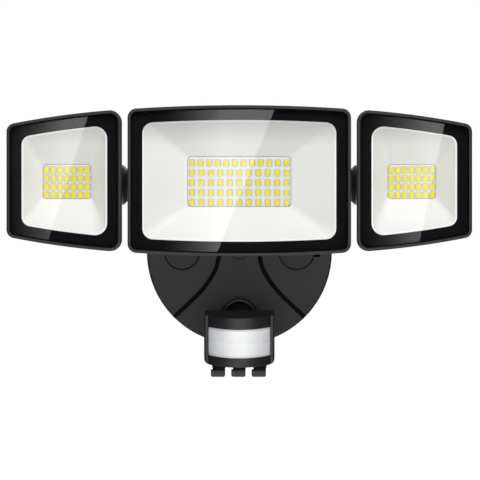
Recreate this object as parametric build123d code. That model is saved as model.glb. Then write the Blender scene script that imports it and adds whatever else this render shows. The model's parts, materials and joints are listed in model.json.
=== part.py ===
from build123d import *
from dataclasses import dataclass
from math import atan2, cos, degrees, hypot, radians, sin, sqrt
import os

# Wall-mounted security light with three floodlight heads and a motion sensor. Millimetres.
# X is the viewer's right, +Y goes into the wall, +Z is up. The wall is the plane y = 0 and the
# origin is the centre of the round base on that wall, so the front of the light has negative y.

# ---- clearances shared by all fits ----
pin_clearance = 0.06        # radial, a turning pin or bar in its bore
screw_clearance = 0.05      # radial, a screw's thread in its tapped hole
through_clearance = 0.3     # radial, a screw's shank in a plain hole
thread_end = 1.0            # of a bolt past its nut
slot_width = 1.0            # of the sensor bolt's screwdriver slot
socket_share = 0.55         # a screw's drive socket against its shank's radius
socket_depth = 1.6          # of the drive sockets in bolt heads
socket_radius = 2.0         # across the corners of the bolts' hexagon sockets
trim_gap = 0.3              # round the edge of a part that sits in a recess
swing_gap = 0.3             # between flat faces that pass each other

# ---- base on the wall ----
base_radius = 56.5
base_front = 27.0           # distance of the front face from the wall
base_wall = 3.0
base_edge_radius = 1.6
gasket_thickness = 2.0
gasket_overhang = 2.5       # how far the gasket reaches inside the base's wall
plate_depth = 9.0           # back plate's rear face below the wall plane
plate_thickness = 2.0
plate_screw_x = 32.5        # the back plate's four screws, from the centre
plate_boss_radius = 4.0
plate_screw_bite = 6.0       # depth of thread in the bosses
plate_screw_hole = 7.0       # depth of their tapped holes
groove_width = 2.6
groove_depth = 1.5
groove_start_x = 12.35      # the grooves stand this far from the middle at z = 0
groove_bends = ((27.0, 29.0), (62.0, 47.0))  # each arc's radius, and degrees from vertical where it ends

# ---- screws that hold the base to an outlet box, and their covers ----
face_screw_pitch = 69.85
face_screw_hole_radius = 2.4
face_screw_head_radius = 4.4
face_screw_head_depth = 3.0
face_tube_radius = 6.0
cover_gap_radius = 10.7     # middle of the dark line round each cover
cover_thickness = 3.0
cover_ring_radius = 8.0     # push-in ring behind the cover
cover_ring_width = 1.2
cover_ring_length = 2.0
pry_slot_length = 4.0       # visible past the cover's edge
pry_slot_height = 2.0
pry_slot_depth = 1.2
pry_slot_z = -2.1

# ---- centre bolt and strap ----
bolt_radius = 2.5
bolt_head_radius = 4.2
bolt_head_height = 3.4
bolt_seat_depth = 5.0       # the head's seat behind the base's front face
bolt_cap_radius = 4.3
bolt_cap_height = 1.4       # flat part, inside the hole
bolt_cap_dome = 1.5         # what stands out of the base's face
centre_boss_radius = 7.0
strap_length = 100.0
strap_width = 16.0
strap_thickness = 1.5
strap_slot_pitch = 80.0     # between the middles of the two slots
strap_slot_length = 13.4
strap_slot_radius = 2.2

# ---- supply grommet ----
grommet_x = -20.0
grommet_z = 20.0
grommet_radius = 6.0
grommet_bore_radius = 3.8
grommet_flange = 2.0        # how far its flanges reach past the plate's hole
grommet_lip = 1.5           # thickness of each flange

# ---- driver board inside the base ----
driver_width = 62.0
driver_height = 15.0
driver_z = -17.0
driver_thickness = 1.6
driver_standoff = 9.9       # from the inside of the front wall to the board
driver_post_radius = 2.5
driver_post_x = 27.0
part_margin = 1.0           # bare edge of the board above and below its components
driver_blocks = ((2.5, 13.0, 7.5), (-18.0, 10.0, 7.0), (16.0, 8.0, 6.0))     # x, width and height
capacitor_x = -8.5
capacitor_radius = 3.2

# ---- support arm: flange on the base, neck and the cross bar that carries the heads ----
bar_y = -46.0
bar_z = 40.2
bar_radius = 9.7
bar_bore_radius = 6.5
bar_reach = 2.15            # of each end past the middle head's edge
flange_width = 43.0
flange_height = 24.0
flange_z = 36.0
flange_thickness = 4.0
flange_corner = 5.0
neck_width = 20.0
neck_height = 17.0
neck_z = 39.0
neck_bore_radius = 4.5
arm_screw_radius = 2.0
arm_screw_head_radius = 3.4
arm_screw_head_height = 2.2
arm_screw_x = 15.5
arm_screw_z = 8.0           # above and below the flange's middle
arm_screw_bite = 3.4        # depth of thread in the flange

# ---- heads: section from front to back ----
head_z = 41.3
glass_front = 88.0          # distance of the glass from the wall
rim_proud = 0.8             # the rim stands in front of the glass
rim_width = 1.75
rim_band = 6.0              # straight part of the rim, front to back
rim_edge_radius = 0.7       # rounding of the rim's outer front edge
glass_thickness = 3.0
glass_side_gap = 0.25
print_thickness = 0.2
seal_thickness = 0.6
seal_width = 2.0
ledge_width = 2.45          # the housing's ledge under glass and seal
border_width = 8.4          # rim and black printed border together
lip_width = 0.9             # white lip of the reflector inside the border
lip_thickness = 1.2
reflector_wall = 1.2
board_depth = 18.5          # from the glass face to the front of the LED board
board_thickness = 1.6
floor_thickness = 2.9
housing_wall = 2.4
housing_taper = 5.0         # the housing's back is this much smaller all round
least_corner = 1.5
fin_depth = 4.0
fin_thickness = 2.0
fin_pitch = 8.0
fin_margin = 3.0            # bare edge round the finned area
chip_width = 2.8
chip_height = 3.5
chip_thickness = 0.7
board_screw_radius = 1.25
board_screw_head_radius = 2.2
board_screw_head_height = 1.3
board_screw_bite = 2.2
board_screw_inset = 3.2     # from the board's edges
board_opening_corner = 2.0

# ---- middle head's clamps on the cross bar ----
clamp_x = 30.0
clamp_width = 12.0
clamp_half_height = 16.0
clamp_cap_wall = 3.4
clamp_ear_thickness = 4.0
clamp_screw_z = 12.9        # above and below the bar's axis
clamp_screw_radius = 1.5
clamp_screw_length = 12.0
clamp_screw_head_radius = 2.7
clamp_screw_head_height = 2.0

# ---- side heads' knuckles ----
washer_thickness = 0.5
collar_radius = 11.9
collar_width = 1.9          # straight part behind the 45 degree cone
spigot_length = 20.0
spigot_groove_inset = 10.4  # from the bar's end to the middle of the groove
spigot_groove_width = 3.6
spigot_groove_depth = 0.9
grub_screw_radius = 1.5
grub_screw_angle = 40.0     # each side of straight back
grub_tip_gap = 0.3
hinge_inset = 12.27         # the hinge stands this far behind the side head's inner edge
hinge_y = -50.0
barrel_radius = 7.0
barrel_height = 16.0
web_height = 14.0
web_thickness = 11.0
lug_thickness = 5.0
hinge_bolt_radius = 2.5
hinge_head_radius = 4.2
hinge_head_height = 3.4
hinge_nut_flats = 8.0
hinge_nut_height = 3.5

# ---- motion sensor's arm ----
socket_z = -39.5
socket_ring_radius = 10.7
socket_ring_bore = 9.1
socket_ring_proud = 1.0
socket_boss_radius = 12.6
socket_back_wall = 2.1
ball_y = -23.5
ball_radius = 9.8
ball_clearance = 0.12
stem_radius = 4.0
tongue_width = 8.6
knuckle_y = -49.0
knuckle_z = -46.0
knuckle_radius = 5.5

# ---- motion sensor, in its own frame: origin at the knuckle, -Y forward, rest tilt applied last ----
sensor_rest_tilt = 10.0
sensor_half_width = 20.7
sensor_back = 6.5           # from the knuckle's axis to the back face
sensor_cheek_front = 20.8
sensor_front = 29.0
sensor_bow_half_width = 18.3
sensor_top = 13.1
sensor_height = 29.5
sensor_wall = 1.8
sensor_split = 14.0         # seam between the two shells
sensor_top_radius = 1.2      # all round the top, so the hood's edge too
sensor_bottom_radius = 3.5
sensor_back_radius = 3.0
sensor_cheek_radius = 1.4
hood_height = 6.9
chin_height = 5.3
lens_recess = 0.8
lens_thickness = 1.0
lens_gap = 0.1
lens_flange = 2.0
ear_thickness = 4.0
sensor_bolt_radius = 2.0
sensor_bolt_head_radius = 3.6
sensor_bolt_head_height = 2.2
sensor_board_width = 30.0
sensor_board_height = 19.0
sensor_board_front = 12.6
sensor_board_thickness = 1.6
sensor_post_x = 11.0
sensor_post_radius = 2.0
detector_radius = 4.6
detector_height = 4.2

# ---- setting knobs under the sensor ----
knob_names = ("time_knob", "lux_knob", "sens_knob")
knob_pitch = 12.05
knob_y = -16.0
knob_gap = 0.4              # under the sensor's bottom
knob_skirt_radius = 4.4
knob_waist_radius = 3.6
knob_skirt_height = 4.2
knob_grip_reach = 3.7       # of the finger bar towards +X
knob_grip_height = 3.8
knob_pointer_reach = 4.8    # of the finger bar towards -X
knob_grip_width = 3.4       # front to back
knob_bottom_radius = 1.2
knob_bore_depth = 3.8
shaft_radius = 2.0
pot_width = 7.5
pot_depth = 5.5
pot_height = 4.0


@dataclass(frozen=True)
class Head:
    """One floodlight head: a barrel-sided outline, its window's corners and its LED board."""

    left_edge: float
    width: float
    left_half: float          # half heights at the left edge, the middle and the right edge
    middle_half: float
    right_half: float
    corners: tuple            # outline corner radii, left and right
    window_corners: tuple
    board_opening: tuple      # the part of the board that the reflector leaves bare
    board_size: tuple
    row_span: float           # between the first and the last chip of every row
    row_pitch: float
    row_counts: tuple         # chips in each row, top to bottom

    @property
    def middle_x(self):
        return self.left_edge + self.width / 2


middle_width = 128.5
head_gap = 3.48
middle_head = Head(
    left_edge=-middle_width / 2, width=middle_width, left_half=41.2, middle_half=43.45, right_half=41.2,
    corners=(5.35, 5.35), window_corners=(6.2, 6.2), board_opening=(60.0, 29.1), board_size=(80.0, 46.0),
    row_span=55.37, row_pitch=5.78, row_counts=(12, 11, 11, 11, 11),
)
side_head = Head(
    left_edge=middle_width / 2 + head_gap, width=66.07, left_half=41.0, middle_half=37.75, right_half=32.2,
    corners=(6.7, 5.0), window_corners=(7.0, 5.5), board_opening=(28.1, 19.9), board_size=(42.0, 36.0),
    row_span=23.94, row_pitch=4.93, row_counts=(7, 7, 7, 7),
)

# ---- places that follow from the sizes ----
base_face = -base_front
base_back = -gasket_thickness
base_inner_face = base_face + base_wall
base_inner_radius = base_radius - base_wall
plate_back = -plate_depth
plate_front = plate_back - plate_thickness
cover_radius = cover_gap_radius - trim_gap
cover_recess_radius = cover_gap_radius + trim_gap
cover_floor = base_face + cover_thickness
bolt_seat = base_face + bolt_seat_depth
driver_seat = base_inner_face + driver_standoff
face_screw_places = [(-face_screw_pitch / 2, 0), (face_screw_pitch / 2, 0)]
plate_screw_places = [
    (x, z) for x in (-plate_screw_x, plate_screw_x) for z in (-plate_screw_x, plate_screw_x)
]
arm_screw_places = [
    (x, flange_z + z) for x in (-arm_screw_x, arm_screw_x) for z in (-arm_screw_z, arm_screw_z)
]
flange_face = base_face - flange_thickness
glass_face = -glass_front
glass_back = glass_face + glass_thickness
print_back = glass_back + print_thickness
ledge = print_back + seal_thickness
rim_face = glass_face - rim_proud
band_back = rim_face + rim_band
lip_face = print_back
board_face = glass_face + board_depth
board_back = board_face + board_thickness
floor_back = board_back + floor_thickness
fin_back = floor_back + fin_depth
glass_inset = rim_width + glass_side_gap
cavity_inset = rim_width + ledge_width
bar_end = middle_width / 2 + bar_reach
spigot_groove_x = bar_end - spigot_groove_inset
hinge_x = side_head.left_edge + hinge_inset
collar_start = bar_end + washer_thickness
collar_cone = collar_radius - bar_radius
collar_end = collar_start + collar_cone + collar_width
spigot_radius = bar_bore_radius - pin_clearance
spigot_end = bar_end - spigot_length
socket_boss_back = ball_y + ball_radius + ball_clearance + socket_back_wall
socket_hole_radius = socket_ring_radius + trim_gap
sensor_bottom = sensor_top - sensor_height
window_top = sensor_top - hood_height
window_bottom = sensor_bottom + chin_height
sensor_floor = sensor_bottom + sensor_wall
bow_height = sensor_front - sensor_cheek_front
bow_radius = (sensor_bow_half_width**2 + bow_height**2) / (2 * bow_height)
bow_centre = bow_radius - sensor_front
ear_inner = tongue_width / 2 + swing_gap
ear_outer = ear_inner + ear_thickness
knob_top = sensor_bottom - knob_gap
sensor_place = Pos(0, knuckle_y, knuckle_z) * Rot(sensor_rest_tilt, 0, 0)


# ---- shapes used again and again ----
def block(x_span, y_span, z_span):
    """Box between two values on each axis."""
    spans = (x_span, y_span, z_span)
    middle = [(low + high) / 2 for low, high in spans]
    size = [abs(high - low) for low, high in spans]
    return Pos(*middle) * Box(*size)


def rod_x(radius, start, end, y=0.0, z=0.0):
    """Cylinder along X."""
    return Pos((start + end) / 2, y, z) * Rot(0, 90, 0) * Cylinder(radius, abs(end - start))


def rod_y(radius, start, end, x=0.0, z=0.0):
    """Cylinder along Y."""
    return Pos(x, (start + end) / 2, z) * Rot(90, 0, 0) * Cylinder(radius, abs(end - start))


def rod_z(radius, start, end, x=0.0, y=0.0):
    """Cylinder along Z."""
    return Pos(x, y, (start + end) / 2) * Cylinder(radius, abs(end - start))


def front_plane(y):
    """Plane at depth y whose sketch axes are X and Z and whose normal points forward."""
    return Plane(origin=(0, y, 0), x_dir=(1, 0, 0), z_dir=(0, -1, 0))


def slab(sketch, back, front):
    """Sketch in x and z made solid from its back to its front."""
    return extrude(front_plane(back) * sketch, back - front)


def bridge(front_sketch, front, back_sketch, back):
    """Straight-walled solid between an outline in front and one behind it."""
    return loft([front_plane(front) * front_sketch, front_plane(back) * back_sketch], ruled=True)


def joined(pieces):
    """Pieces fused into one body."""
    whole = pieces[0]
    for piece in pieces[1:]:
        whole += piece
    return whole


def mirrored(shape):
    """The same piece on the other side of the middle."""
    return mirror(shape, about=Plane.YZ)


def screw(radius, tip, seat, head_radius, head_height, x, z):
    """Round-headed screw along Y, its head on the far side of the seat from the tip."""
    outward = 1 if seat > tip else -1
    top = seat + outward * head_height
    socket_floor = seat + outward * head_height / 2
    socket = rod_y(radius * socket_share, socket_floor, top, x, z)
    return rod_y(radius, tip, seat, x, z) + rod_y(head_radius, seat, top, x, z) - socket


# ---- base ----
def arc_end(start, radius, start_turn, end_turn):
    """End of an arc that runs downwards from a point and turns between two angles from the vertical."""
    x = start[0] + radius * (cos(start_turn) - cos(end_turn))
    z = start[1] - radius * (sin(end_turn) - sin(start_turn))
    return (x, z)


def groove_path():
    """Lower left half of one groove: two arcs that leave the vertical, then a straight run past the rim."""
    point = (groove_start_x, 0)
    turn = 0
    path = []
    for bend_radius, bend_degrees in groove_bends:
        end_turn = radians(bend_degrees)
        middle = arc_end(point, bend_radius, turn, (turn + end_turn) / 2)
        end = arc_end(point, bend_radius, turn, end_turn)
        path += [ThreePointArc(point, middle, end)]
        point = end
        turn = end_turn
    far_end = (point[0] + base_radius * sin(turn), point[1] - base_radius * cos(turn))
    return Curve() + [*path, Line(point, far_end)]


def groove_cutter():
    """Both grooves, each mirrored about the base's middle line."""
    quarter = slab(trace(groove_path(), line_width=groove_width), base_face + groove_depth, base_face - 1)
    half = quarter + mirror(quarter, about=Plane.XY)
    return half + mirrored(half)


def pry_slot():
    """Shallow notch beside the right screw cover."""
    start = face_screw_pitch / 2 + cover_radius
    end = start + pry_slot_length - pry_slot_height / 2
    flat = Pos((start + end) / 2, pry_slot_z) * Rectangle(end - start, pry_slot_height)
    nose = Pos(end, pry_slot_z) * Circle(pry_slot_height / 2)
    return slab(flat + nose, base_face + pry_slot_depth, base_face)


def cover_ring_sketch(gap):
    """Push-in ring of a screw cover, widened by a gap on both faces for its groove."""
    outer = Circle(cover_ring_radius + cover_ring_width / 2 + gap)
    return outer - Circle(cover_ring_radius - cover_ring_width / 2 - gap)


def make_base_housing():
    shell = slab(Circle(base_radius), base_back, base_face)
    front_edge = shell.edges().sort_by(Axis.Y)[0]
    shell = fillet(front_edge, base_edge_radius)
    shell -= slab(Circle(base_inner_radius), base_back, base_inner_face)
    pad_back = cover_floor + face_screw_head_depth
    cover_pad_radius = cover_recess_radius + base_wall / 2
    bosses = [rod_y(centre_boss_radius, base_inner_face, plate_front)]
    bosses += [rod_y(socket_boss_radius, base_inner_face, socket_boss_back, 0, socket_z)]
    for x, z in face_screw_places:
        bosses += [rod_y(cover_pad_radius, base_inner_face, pad_back, x, z)]
        bosses += [rod_y(face_tube_radius, base_inner_face, plate_front, x, z)]
    for x, z in plate_screw_places:
        bosses += [rod_y(plate_boss_radius, base_inner_face, plate_front, x, z)]
    for x in (-driver_post_x, driver_post_x):
        bosses += [rod_y(driver_post_radius, base_inner_face, driver_seat, x, driver_z)]
    shell = joined([shell] + bosses)

    cuts = [groove_cutter()]
    ring_floor = cover_floor + cover_ring_length + trim_gap
    for x, z in face_screw_places:
        cuts += [rod_y(cover_recess_radius, base_face, cover_floor, x, z)]
        cuts += [rod_y(face_screw_head_radius, cover_floor, pad_back, x, z)]
        cuts += [rod_y(face_screw_hole_radius, pad_back, plate_front, x, z)]
        cuts += [Pos(x, 0, z) * slab(cover_ring_sketch(pin_clearance), ring_floor, cover_floor)]
    notch = pry_slot()
    cuts += [notch, Rot(0, 180, 0) * notch]
    cuts += [rod_y(bolt_cap_radius + trim_gap, base_face, bolt_seat)]
    cuts += [rod_y(bolt_radius + through_clearance, bolt_seat, plate_front)]
    cuts += [rod_y(socket_hole_radius, base_face, ball_y, 0, socket_z)]
    cuts += [Pos(0, ball_y, socket_z) * Sphere(ball_radius + ball_clearance)]
    cuts += [rod_y(neck_bore_radius, base_face, base_inner_face, 0, neck_z)]
    for x, z in arm_screw_places:
        cuts += [rod_y(arm_screw_radius + through_clearance, base_face, base_inner_face, x, z)]
    for x, z in plate_screw_places:
        cuts += [rod_y(board_screw_radius + screw_clearance, plate_front, plate_front - plate_screw_hole, x, z)]
    for cut in cuts:
        shell -= cut
    return shell


def make_wall_gasket():
    ring = Circle(base_radius - trim_gap) - Circle(base_inner_radius - gasket_overhang)
    return slab(ring, 0, base_back)


def make_back_plate():
    plate = slab(Circle(base_inner_radius - trim_gap), plate_back, plate_front)
    holes = [rod_y(bolt_radius + through_clearance, plate_front, plate_back)]
    holes += [rod_y(grommet_radius + pin_clearance, plate_front, plate_back, grommet_x, grommet_z)]
    for x, z in face_screw_places:
        holes += [rod_y(face_screw_hole_radius, plate_front, plate_back, x, z)]
    for x, z in plate_screw_places:
        holes += [rod_y(board_screw_radius + through_clearance, plate_front, plate_back, x, z)]
    return plate - holes


def make_back_plate_screws():
    tip = plate_front - plate_screw_bite
    return [
        screw(board_screw_radius, tip, plate_back, board_screw_head_radius, board_screw_head_height, x, z)
        for x, z in plate_screw_places
    ]


def make_supply_grommet():
    body = rod_y(grommet_radius, plate_front, plate_back, grommet_x, grommet_z)
    flange_radius = grommet_radius + grommet_flange
    rear = rod_y(flange_radius, plate_back, plate_back + grommet_lip, grommet_x, grommet_z)
    front = rod_y(flange_radius, plate_front - grommet_lip, plate_front, grommet_x, grommet_z)
    reach = plate_thickness + 2 * grommet_lip
    bore = rod_y(grommet_bore_radius, plate_front - reach, plate_back + reach, grommet_x, grommet_z)
    return body + rear + front - bore


def make_mounting_strap():
    outline = RectangleRounded(strap_length, strap_width, strap_width / 4)
    for x in (-strap_slot_pitch / 2, strap_slot_pitch / 2):
        outline -= Pos(x, 0) * SlotOverall(strap_slot_length, 2 * strap_slot_radius)
    outline -= Circle(bolt_radius + screw_clearance)
    return slab(outline, 0, -strap_thickness)


def make_strap_bolt():
    head_face = bolt_seat - bolt_head_height
    shank = rod_y(bolt_radius, bolt_seat, -screw_clearance)
    socket = slab(RegularPolygon(socket_radius, 6), head_face + socket_depth, head_face)
    return shank + rod_y(bolt_head_radius, head_face, bolt_seat) - socket


def make_bolt_cap():
    disc = rod_y(bolt_cap_radius, base_face, base_face + bolt_cap_height)
    dome_radius = (bolt_cap_radius**2 + bolt_cap_dome**2) / (2 * bolt_cap_dome)
    ball = Pos(0, base_face - bolt_cap_dome + dome_radius, 0) * Sphere(dome_radius)
    dome = ball & rod_y(bolt_cap_radius, base_face - bolt_cap_dome, base_face)
    return disc + dome


def make_screw_cover():
    x = face_screw_pitch / 2
    disc = rod_y(cover_radius, base_face, cover_floor, x)
    ring = Pos(x, 0, 0) * slab(cover_ring_sketch(0), cover_floor + cover_ring_length, cover_floor)
    return disc + ring


def make_driver_board():
    x_span = (-driver_width / 2, driver_width / 2)
    z_span = (driver_z - driver_height / 2, driver_z + driver_height / 2)
    return block(x_span, (driver_seat, driver_seat + driver_thickness), z_span)


def make_driver_parts():
    """Transformer, terminal block and choke as blocks, and a lying capacitor."""
    half = driver_height / 2 - part_margin
    z_span = (driver_z - half, driver_z + half)
    blocks = [
        block((x - width / 2, x + width / 2), (driver_seat - height, driver_seat), z_span)
        for x, width, height in driver_blocks
    ]
    capacitor = rod_z(capacitor_radius, *z_span, capacitor_x, driver_seat - capacitor_radius)
    return blocks + [capacitor]


# ---- support arm ----
def rounded_plate(width, height, corner, x, z):
    """Rectangle with round corners, placed in x and z."""
    return Pos(x, z) * RectangleRounded(width, height, corner)


def grub_place(side, angle):
    """Frame on the bar's axis at a grub screw, whose Z points out through the bar's wall."""
    return Pos(side * spigot_groove_x, bar_y, bar_z) * Rot(angle - 90, 0, 0)


def grub_angles():
    return (-grub_screw_angle, grub_screw_angle)


def make_support_arm():
    flange_plate = rounded_plate(flange_width, flange_height, flange_corner, 0, flange_z)
    neck_section = rounded_plate(neck_width, neck_height, flange_corner, 0, neck_z)
    flange = slab(flange_plate, base_face, flange_face)
    neck = slab(neck_section, flange_face, bar_y)
    bar = rod_x(bar_radius, -bar_end, bar_end, bar_y, bar_z)
    arm = flange + neck + bar
    arm -= rod_x(bar_bore_radius, -bar_end, bar_end, bar_y, bar_z)
    arm -= rod_y(neck_bore_radius, base_face, bar_y, 0, neck_z)
    for x, z in arm_screw_places:
        arm -= rod_y(arm_screw_radius + screw_clearance, base_face, base_face - arm_screw_bite, x, z)
    for side in (-1, 1):
        for angle in grub_angles():
            hole = Cylinder(grub_screw_radius + screw_clearance, 2 * bar_radius)
            arm -= grub_place(side, angle) * Pos(0, 0, bar_radius) * hole
    return arm


def make_arm_screws():
    tip = base_face - arm_screw_bite + screw_clearance
    return [
        screw(arm_screw_radius, tip, base_inner_face, arm_screw_head_radius, arm_screw_head_height, x, z)
        for x, z in arm_screw_places
    ]


def make_grub_screws():
    tip = spigot_radius - spigot_groove_depth + grub_tip_gap
    top = bar_radius - grub_tip_gap
    body = Pos(0, 0, (tip + top) / 2) * Cylinder(grub_screw_radius, top - tip)
    socket = Pos(0, 0, top) * extrude(RegularPolygon(grub_screw_radius / 2, 6), 1, both=True)
    return [grub_place(side, angle) * (body - socket) for side in (-1, 1) for angle in grub_angles()]


# ---- heads ----
def head_outline(head, inset=0.0, corners=None):
    """The head's outline, moved inwards by an inset, with its corners rounded."""
    left, right = head.left_edge, head.left_edge + head.width
    halves = (head.left_half, head.middle_half, head.right_half)
    upper = list(zip((left, head.middle_x, right), halves))
    lower = [(x, -half) for x, half in upper]
    sides = [Line(lower[0], upper[0]), Line(upper[-1], lower[-1])]
    sharp = make_face(sides + [ThreePointArc(*upper), ThreePointArc(*lower)])
    if inset:
        sharp = offset(sharp, -inset, kind=Kind.INTERSECTION)
    if corners is None:
        corners = [max(corner - inset, least_corner) for corner in head.corners]
    rounded = fillet(sharp.vertices().sort_by(Axis.X)[:2], corners[0])
    rounded = fillet(rounded.vertices().sort_by(Axis.X)[-2:], corners[1])
    return Pos(0, head_z) * rounded


def window_outline(head, inset=0.0):
    """The clear window inside the black border, moved inwards by an inset."""
    corners = [max(corner - inset, least_corner) for corner in head.window_corners]
    return head_outline(head, border_width + inset, corners)


def board_window(head, margin=0.0):
    """The part of the LED board that the reflector leaves bare, grown by a margin."""
    width, height = head.board_opening
    opening = RectangleRounded(width + 2 * margin, height + 2 * margin, board_opening_corner + margin)
    return Pos(head.middle_x, head_z) * opening


def board_screw_places(head):
    dx, dz = [size / 2 - board_screw_inset for size in head.board_size]
    return [(head.middle_x + x, head_z + z) for x in (-dx, dx) for z in (-dz, dz)]


def make_fins(head):
    """Upright cooling fins on the housing's back, cut to its outline."""
    margin = housing_taper + fin_margin
    count = int((head.width - 2 * margin - fin_thickness) // fin_pitch) + 1
    reach = (head_z - head.width, head_z + head.width)
    fins = []
    for i in range(count):
        x = head.middle_x + fin_pitch * (i - (count - 1) / 2)
        fins += [block((x - fin_thickness / 2, x + fin_thickness / 2), (floor_back, fin_back), reach)]
    return slab(head_outline(head, margin), fin_back, floor_back) & joined(fins)


def make_housing(head):
    """Die-cast tray with a thin rim round the glass and cooling fins behind."""
    band = slab(head_outline(head), band_back, rim_face)
    band = fillet(band.faces().sort_by(Axis.Y)[0].outer_wire().edges(), rim_edge_radius)
    body = bridge(head_outline(head), band_back, head_outline(head, housing_taper), floor_back)
    tray = band + body
    tray += make_fins(head)
    tray -= slab(head_outline(head, rim_width), ledge, rim_face)
    cavity_floor = head_outline(head, housing_taper + housing_wall)
    tray -= bridge(head_outline(head, cavity_inset), ledge, cavity_floor, board_back)
    for x, z in board_screw_places(head):
        tray -= rod_y(board_screw_radius + screw_clearance, board_back, board_back + board_screw_bite, x, z)
    return tray


def make_glass(head):
    return slab(head_outline(head, glass_inset), glass_back, glass_face)


def make_border(head):
    """Black print behind the glass edge, as a thin solid."""
    return slab(head_outline(head, glass_inset) - window_outline(head), print_back, glass_back)


def make_seal(head):
    inner = head_outline(head, glass_inset + seal_width)
    return slab(head_outline(head, glass_inset) - inner, ledge, print_back)


def make_reflector(head):
    """White frame: a flat lip behind the border and four sloping walls down to the LED board."""
    lip_outer = head_outline(head, cavity_inset + trim_gap)
    lip = slab(lip_outer - window_outline(head, lip_width), lip_face + lip_thickness, lip_face)
    outer = bridge(
        window_outline(head, lip_width - reflector_wall), lip_face,
        board_window(head, reflector_wall), board_face,
    )
    inner = bridge(window_outline(head, lip_width), lip_face, board_window(head), board_face)
    return lip + outer - inner


def make_led_board(head):
    width, height = head.board_size
    outline = Pos(head.middle_x, head_z) * RectangleRounded(width, height, board_opening_corner)
    for x, z in board_screw_places(head):
        outline -= Pos(x, z) * Circle(board_screw_radius + through_clearance)
    return slab(outline, board_back, board_face)


def make_leds(head):
    chip = Box(chip_width, chip_thickness, chip_height)
    y = board_face - chip_thickness / 2
    chips = []
    for row, count in enumerate(head.row_counts):
        z = head_z + head.row_pitch * ((len(head.row_counts) - 1) / 2 - row)
        for i in range(count):
            x = head.middle_x + head.row_span * (i / (count - 1) - 1 / 2)
            chips += [Pos(x, y, z) * chip]
    return chips


def make_board_screws(head):
    tip = board_back + board_screw_bite - screw_clearance
    return [
        screw(board_screw_radius, tip, board_face, board_screw_head_radius, board_screw_head_height, x, z)
        for x, z in board_screw_places(head)
    ]


def make_middle_housing():
    """The middle head's housing with a saddle for the cross bar on each side of the neck."""
    housing = make_housing(middle_head)
    reach = (floor_back, bar_y)
    for x in (-clamp_x, clamp_x):
        x_span = (x - clamp_width / 2, x + clamp_width / 2)
        housing += block(x_span, reach, (bar_z - clamp_half_height, bar_z + clamp_half_height))
        housing -= rod_x(bar_radius + pin_clearance, x_span[0], x_span[1], bar_y, bar_z)
        for z in (bar_z - clamp_screw_z, bar_z + clamp_screw_z):
            tip = bar_y + clamp_ear_thickness - clamp_screw_length
            housing -= rod_y(clamp_screw_radius + screw_clearance, tip, bar_y, x, z)
    return housing


def make_clamp_caps():
    caps = []
    for x in (-clamp_x, clamp_x):
        x_span = (x - clamp_width / 2, x + clamp_width / 2)
        back = bar_y + clamp_ear_thickness
        ears = block(x_span, (bar_y, back), (bar_z - clamp_half_height, bar_z + clamp_half_height))
        outer = rod_x(bar_radius + clamp_cap_wall, x_span[0], x_span[1], bar_y, bar_z)
        reach = 2 * bar_radius
        behind = block(x_span, (bar_y, bar_y + reach), (bar_z - reach, bar_z + reach))
        cap = ears + (outer & behind)
        cap -= rod_x(bar_radius + pin_clearance, x_span[0], x_span[1], bar_y, bar_z)
        for z in (bar_z - clamp_screw_z, bar_z + clamp_screw_z):
            cap -= rod_y(clamp_screw_radius + screw_clearance, bar_y, back, x, z)
            cap -= rod_y(clamp_screw_head_radius + screw_clearance, back, back + reach, x, z)
        caps += [cap]
    return caps


def make_clamp_screws():
    seat = bar_y + clamp_ear_thickness
    tip = seat - clamp_screw_length + screw_clearance
    return [
        screw(clamp_screw_radius, tip, seat, clamp_screw_head_radius, clamp_screw_head_height, x, bar_z + dz)
        for x in (-clamp_x, clamp_x)
        for dz in (-clamp_screw_z, clamp_screw_z)
    ]


# ---- side heads' knuckles, made for the right side ----
def make_knuckle():
    """Spigot in the bar, conical collar and the upright barrel of the side head's hinge."""
    spigot = rod_x(spigot_radius, spigot_end, collar_start, bar_y, bar_z)
    groove_span = (spigot_groove_x - spigot_groove_width / 2, spigot_groove_x + spigot_groove_width / 2)
    groove = rod_x(bar_radius, *groove_span, bar_y, bar_z)
    groove -= rod_x(spigot_radius - spigot_groove_depth, *groove_span, bar_y, bar_z)
    cone_end = collar_start + collar_cone
    cone = Pos((collar_start + cone_end) / 2, bar_y, bar_z) * Rot(0, 90, 0) * Cone(
        bar_radius, collar_radius, collar_cone
    )
    collar = rod_x(collar_radius, cone_end, collar_end, bar_y, bar_z)
    barrel_span = (bar_z - barrel_height / 2, bar_z + barrel_height / 2)
    barrel = rod_z(barrel_radius, *barrel_span, hinge_x, hinge_y)
    web = block(
        (cone_end, hinge_x),
        (hinge_y - web_thickness / 3, hinge_y + web_thickness * 2 / 3),
        (bar_z - web_height / 2, bar_z + web_height / 2),
    )
    knuckle = spigot - groove + cone + collar + web + barrel
    return knuckle - rod_z(hinge_bolt_radius + pin_clearance, *barrel_span, hinge_x, hinge_y)


def make_washer():
    bore = spigot_radius + pin_clearance
    outer = rod_x(bar_radius - trim_gap, bar_end + screw_clearance, collar_start, bar_y, bar_z)
    return outer - rod_x(bore, bar_end, collar_start, bar_y, bar_z)


def lug_spans():
    """Lower and upper lug of a side head, above and below the knuckle's barrel."""
    near = barrel_height / 2 + swing_gap
    far = near + lug_thickness
    return [(bar_z - far, bar_z - near), (bar_z + near, bar_z + far)]


def make_side_housing():
    """The side head's housing with the two lugs of its hinge."""
    housing = make_housing(side_head)
    for span in lug_spans():
        arm = block((hinge_x - barrel_radius, hinge_x + barrel_radius), (floor_back, hinge_y), span)
        housing += arm + rod_z(barrel_radius, *span, hinge_x, hinge_y)
        housing -= rod_z(hinge_bolt_radius + screw_clearance, *span, hinge_x, hinge_y)
    return housing


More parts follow.
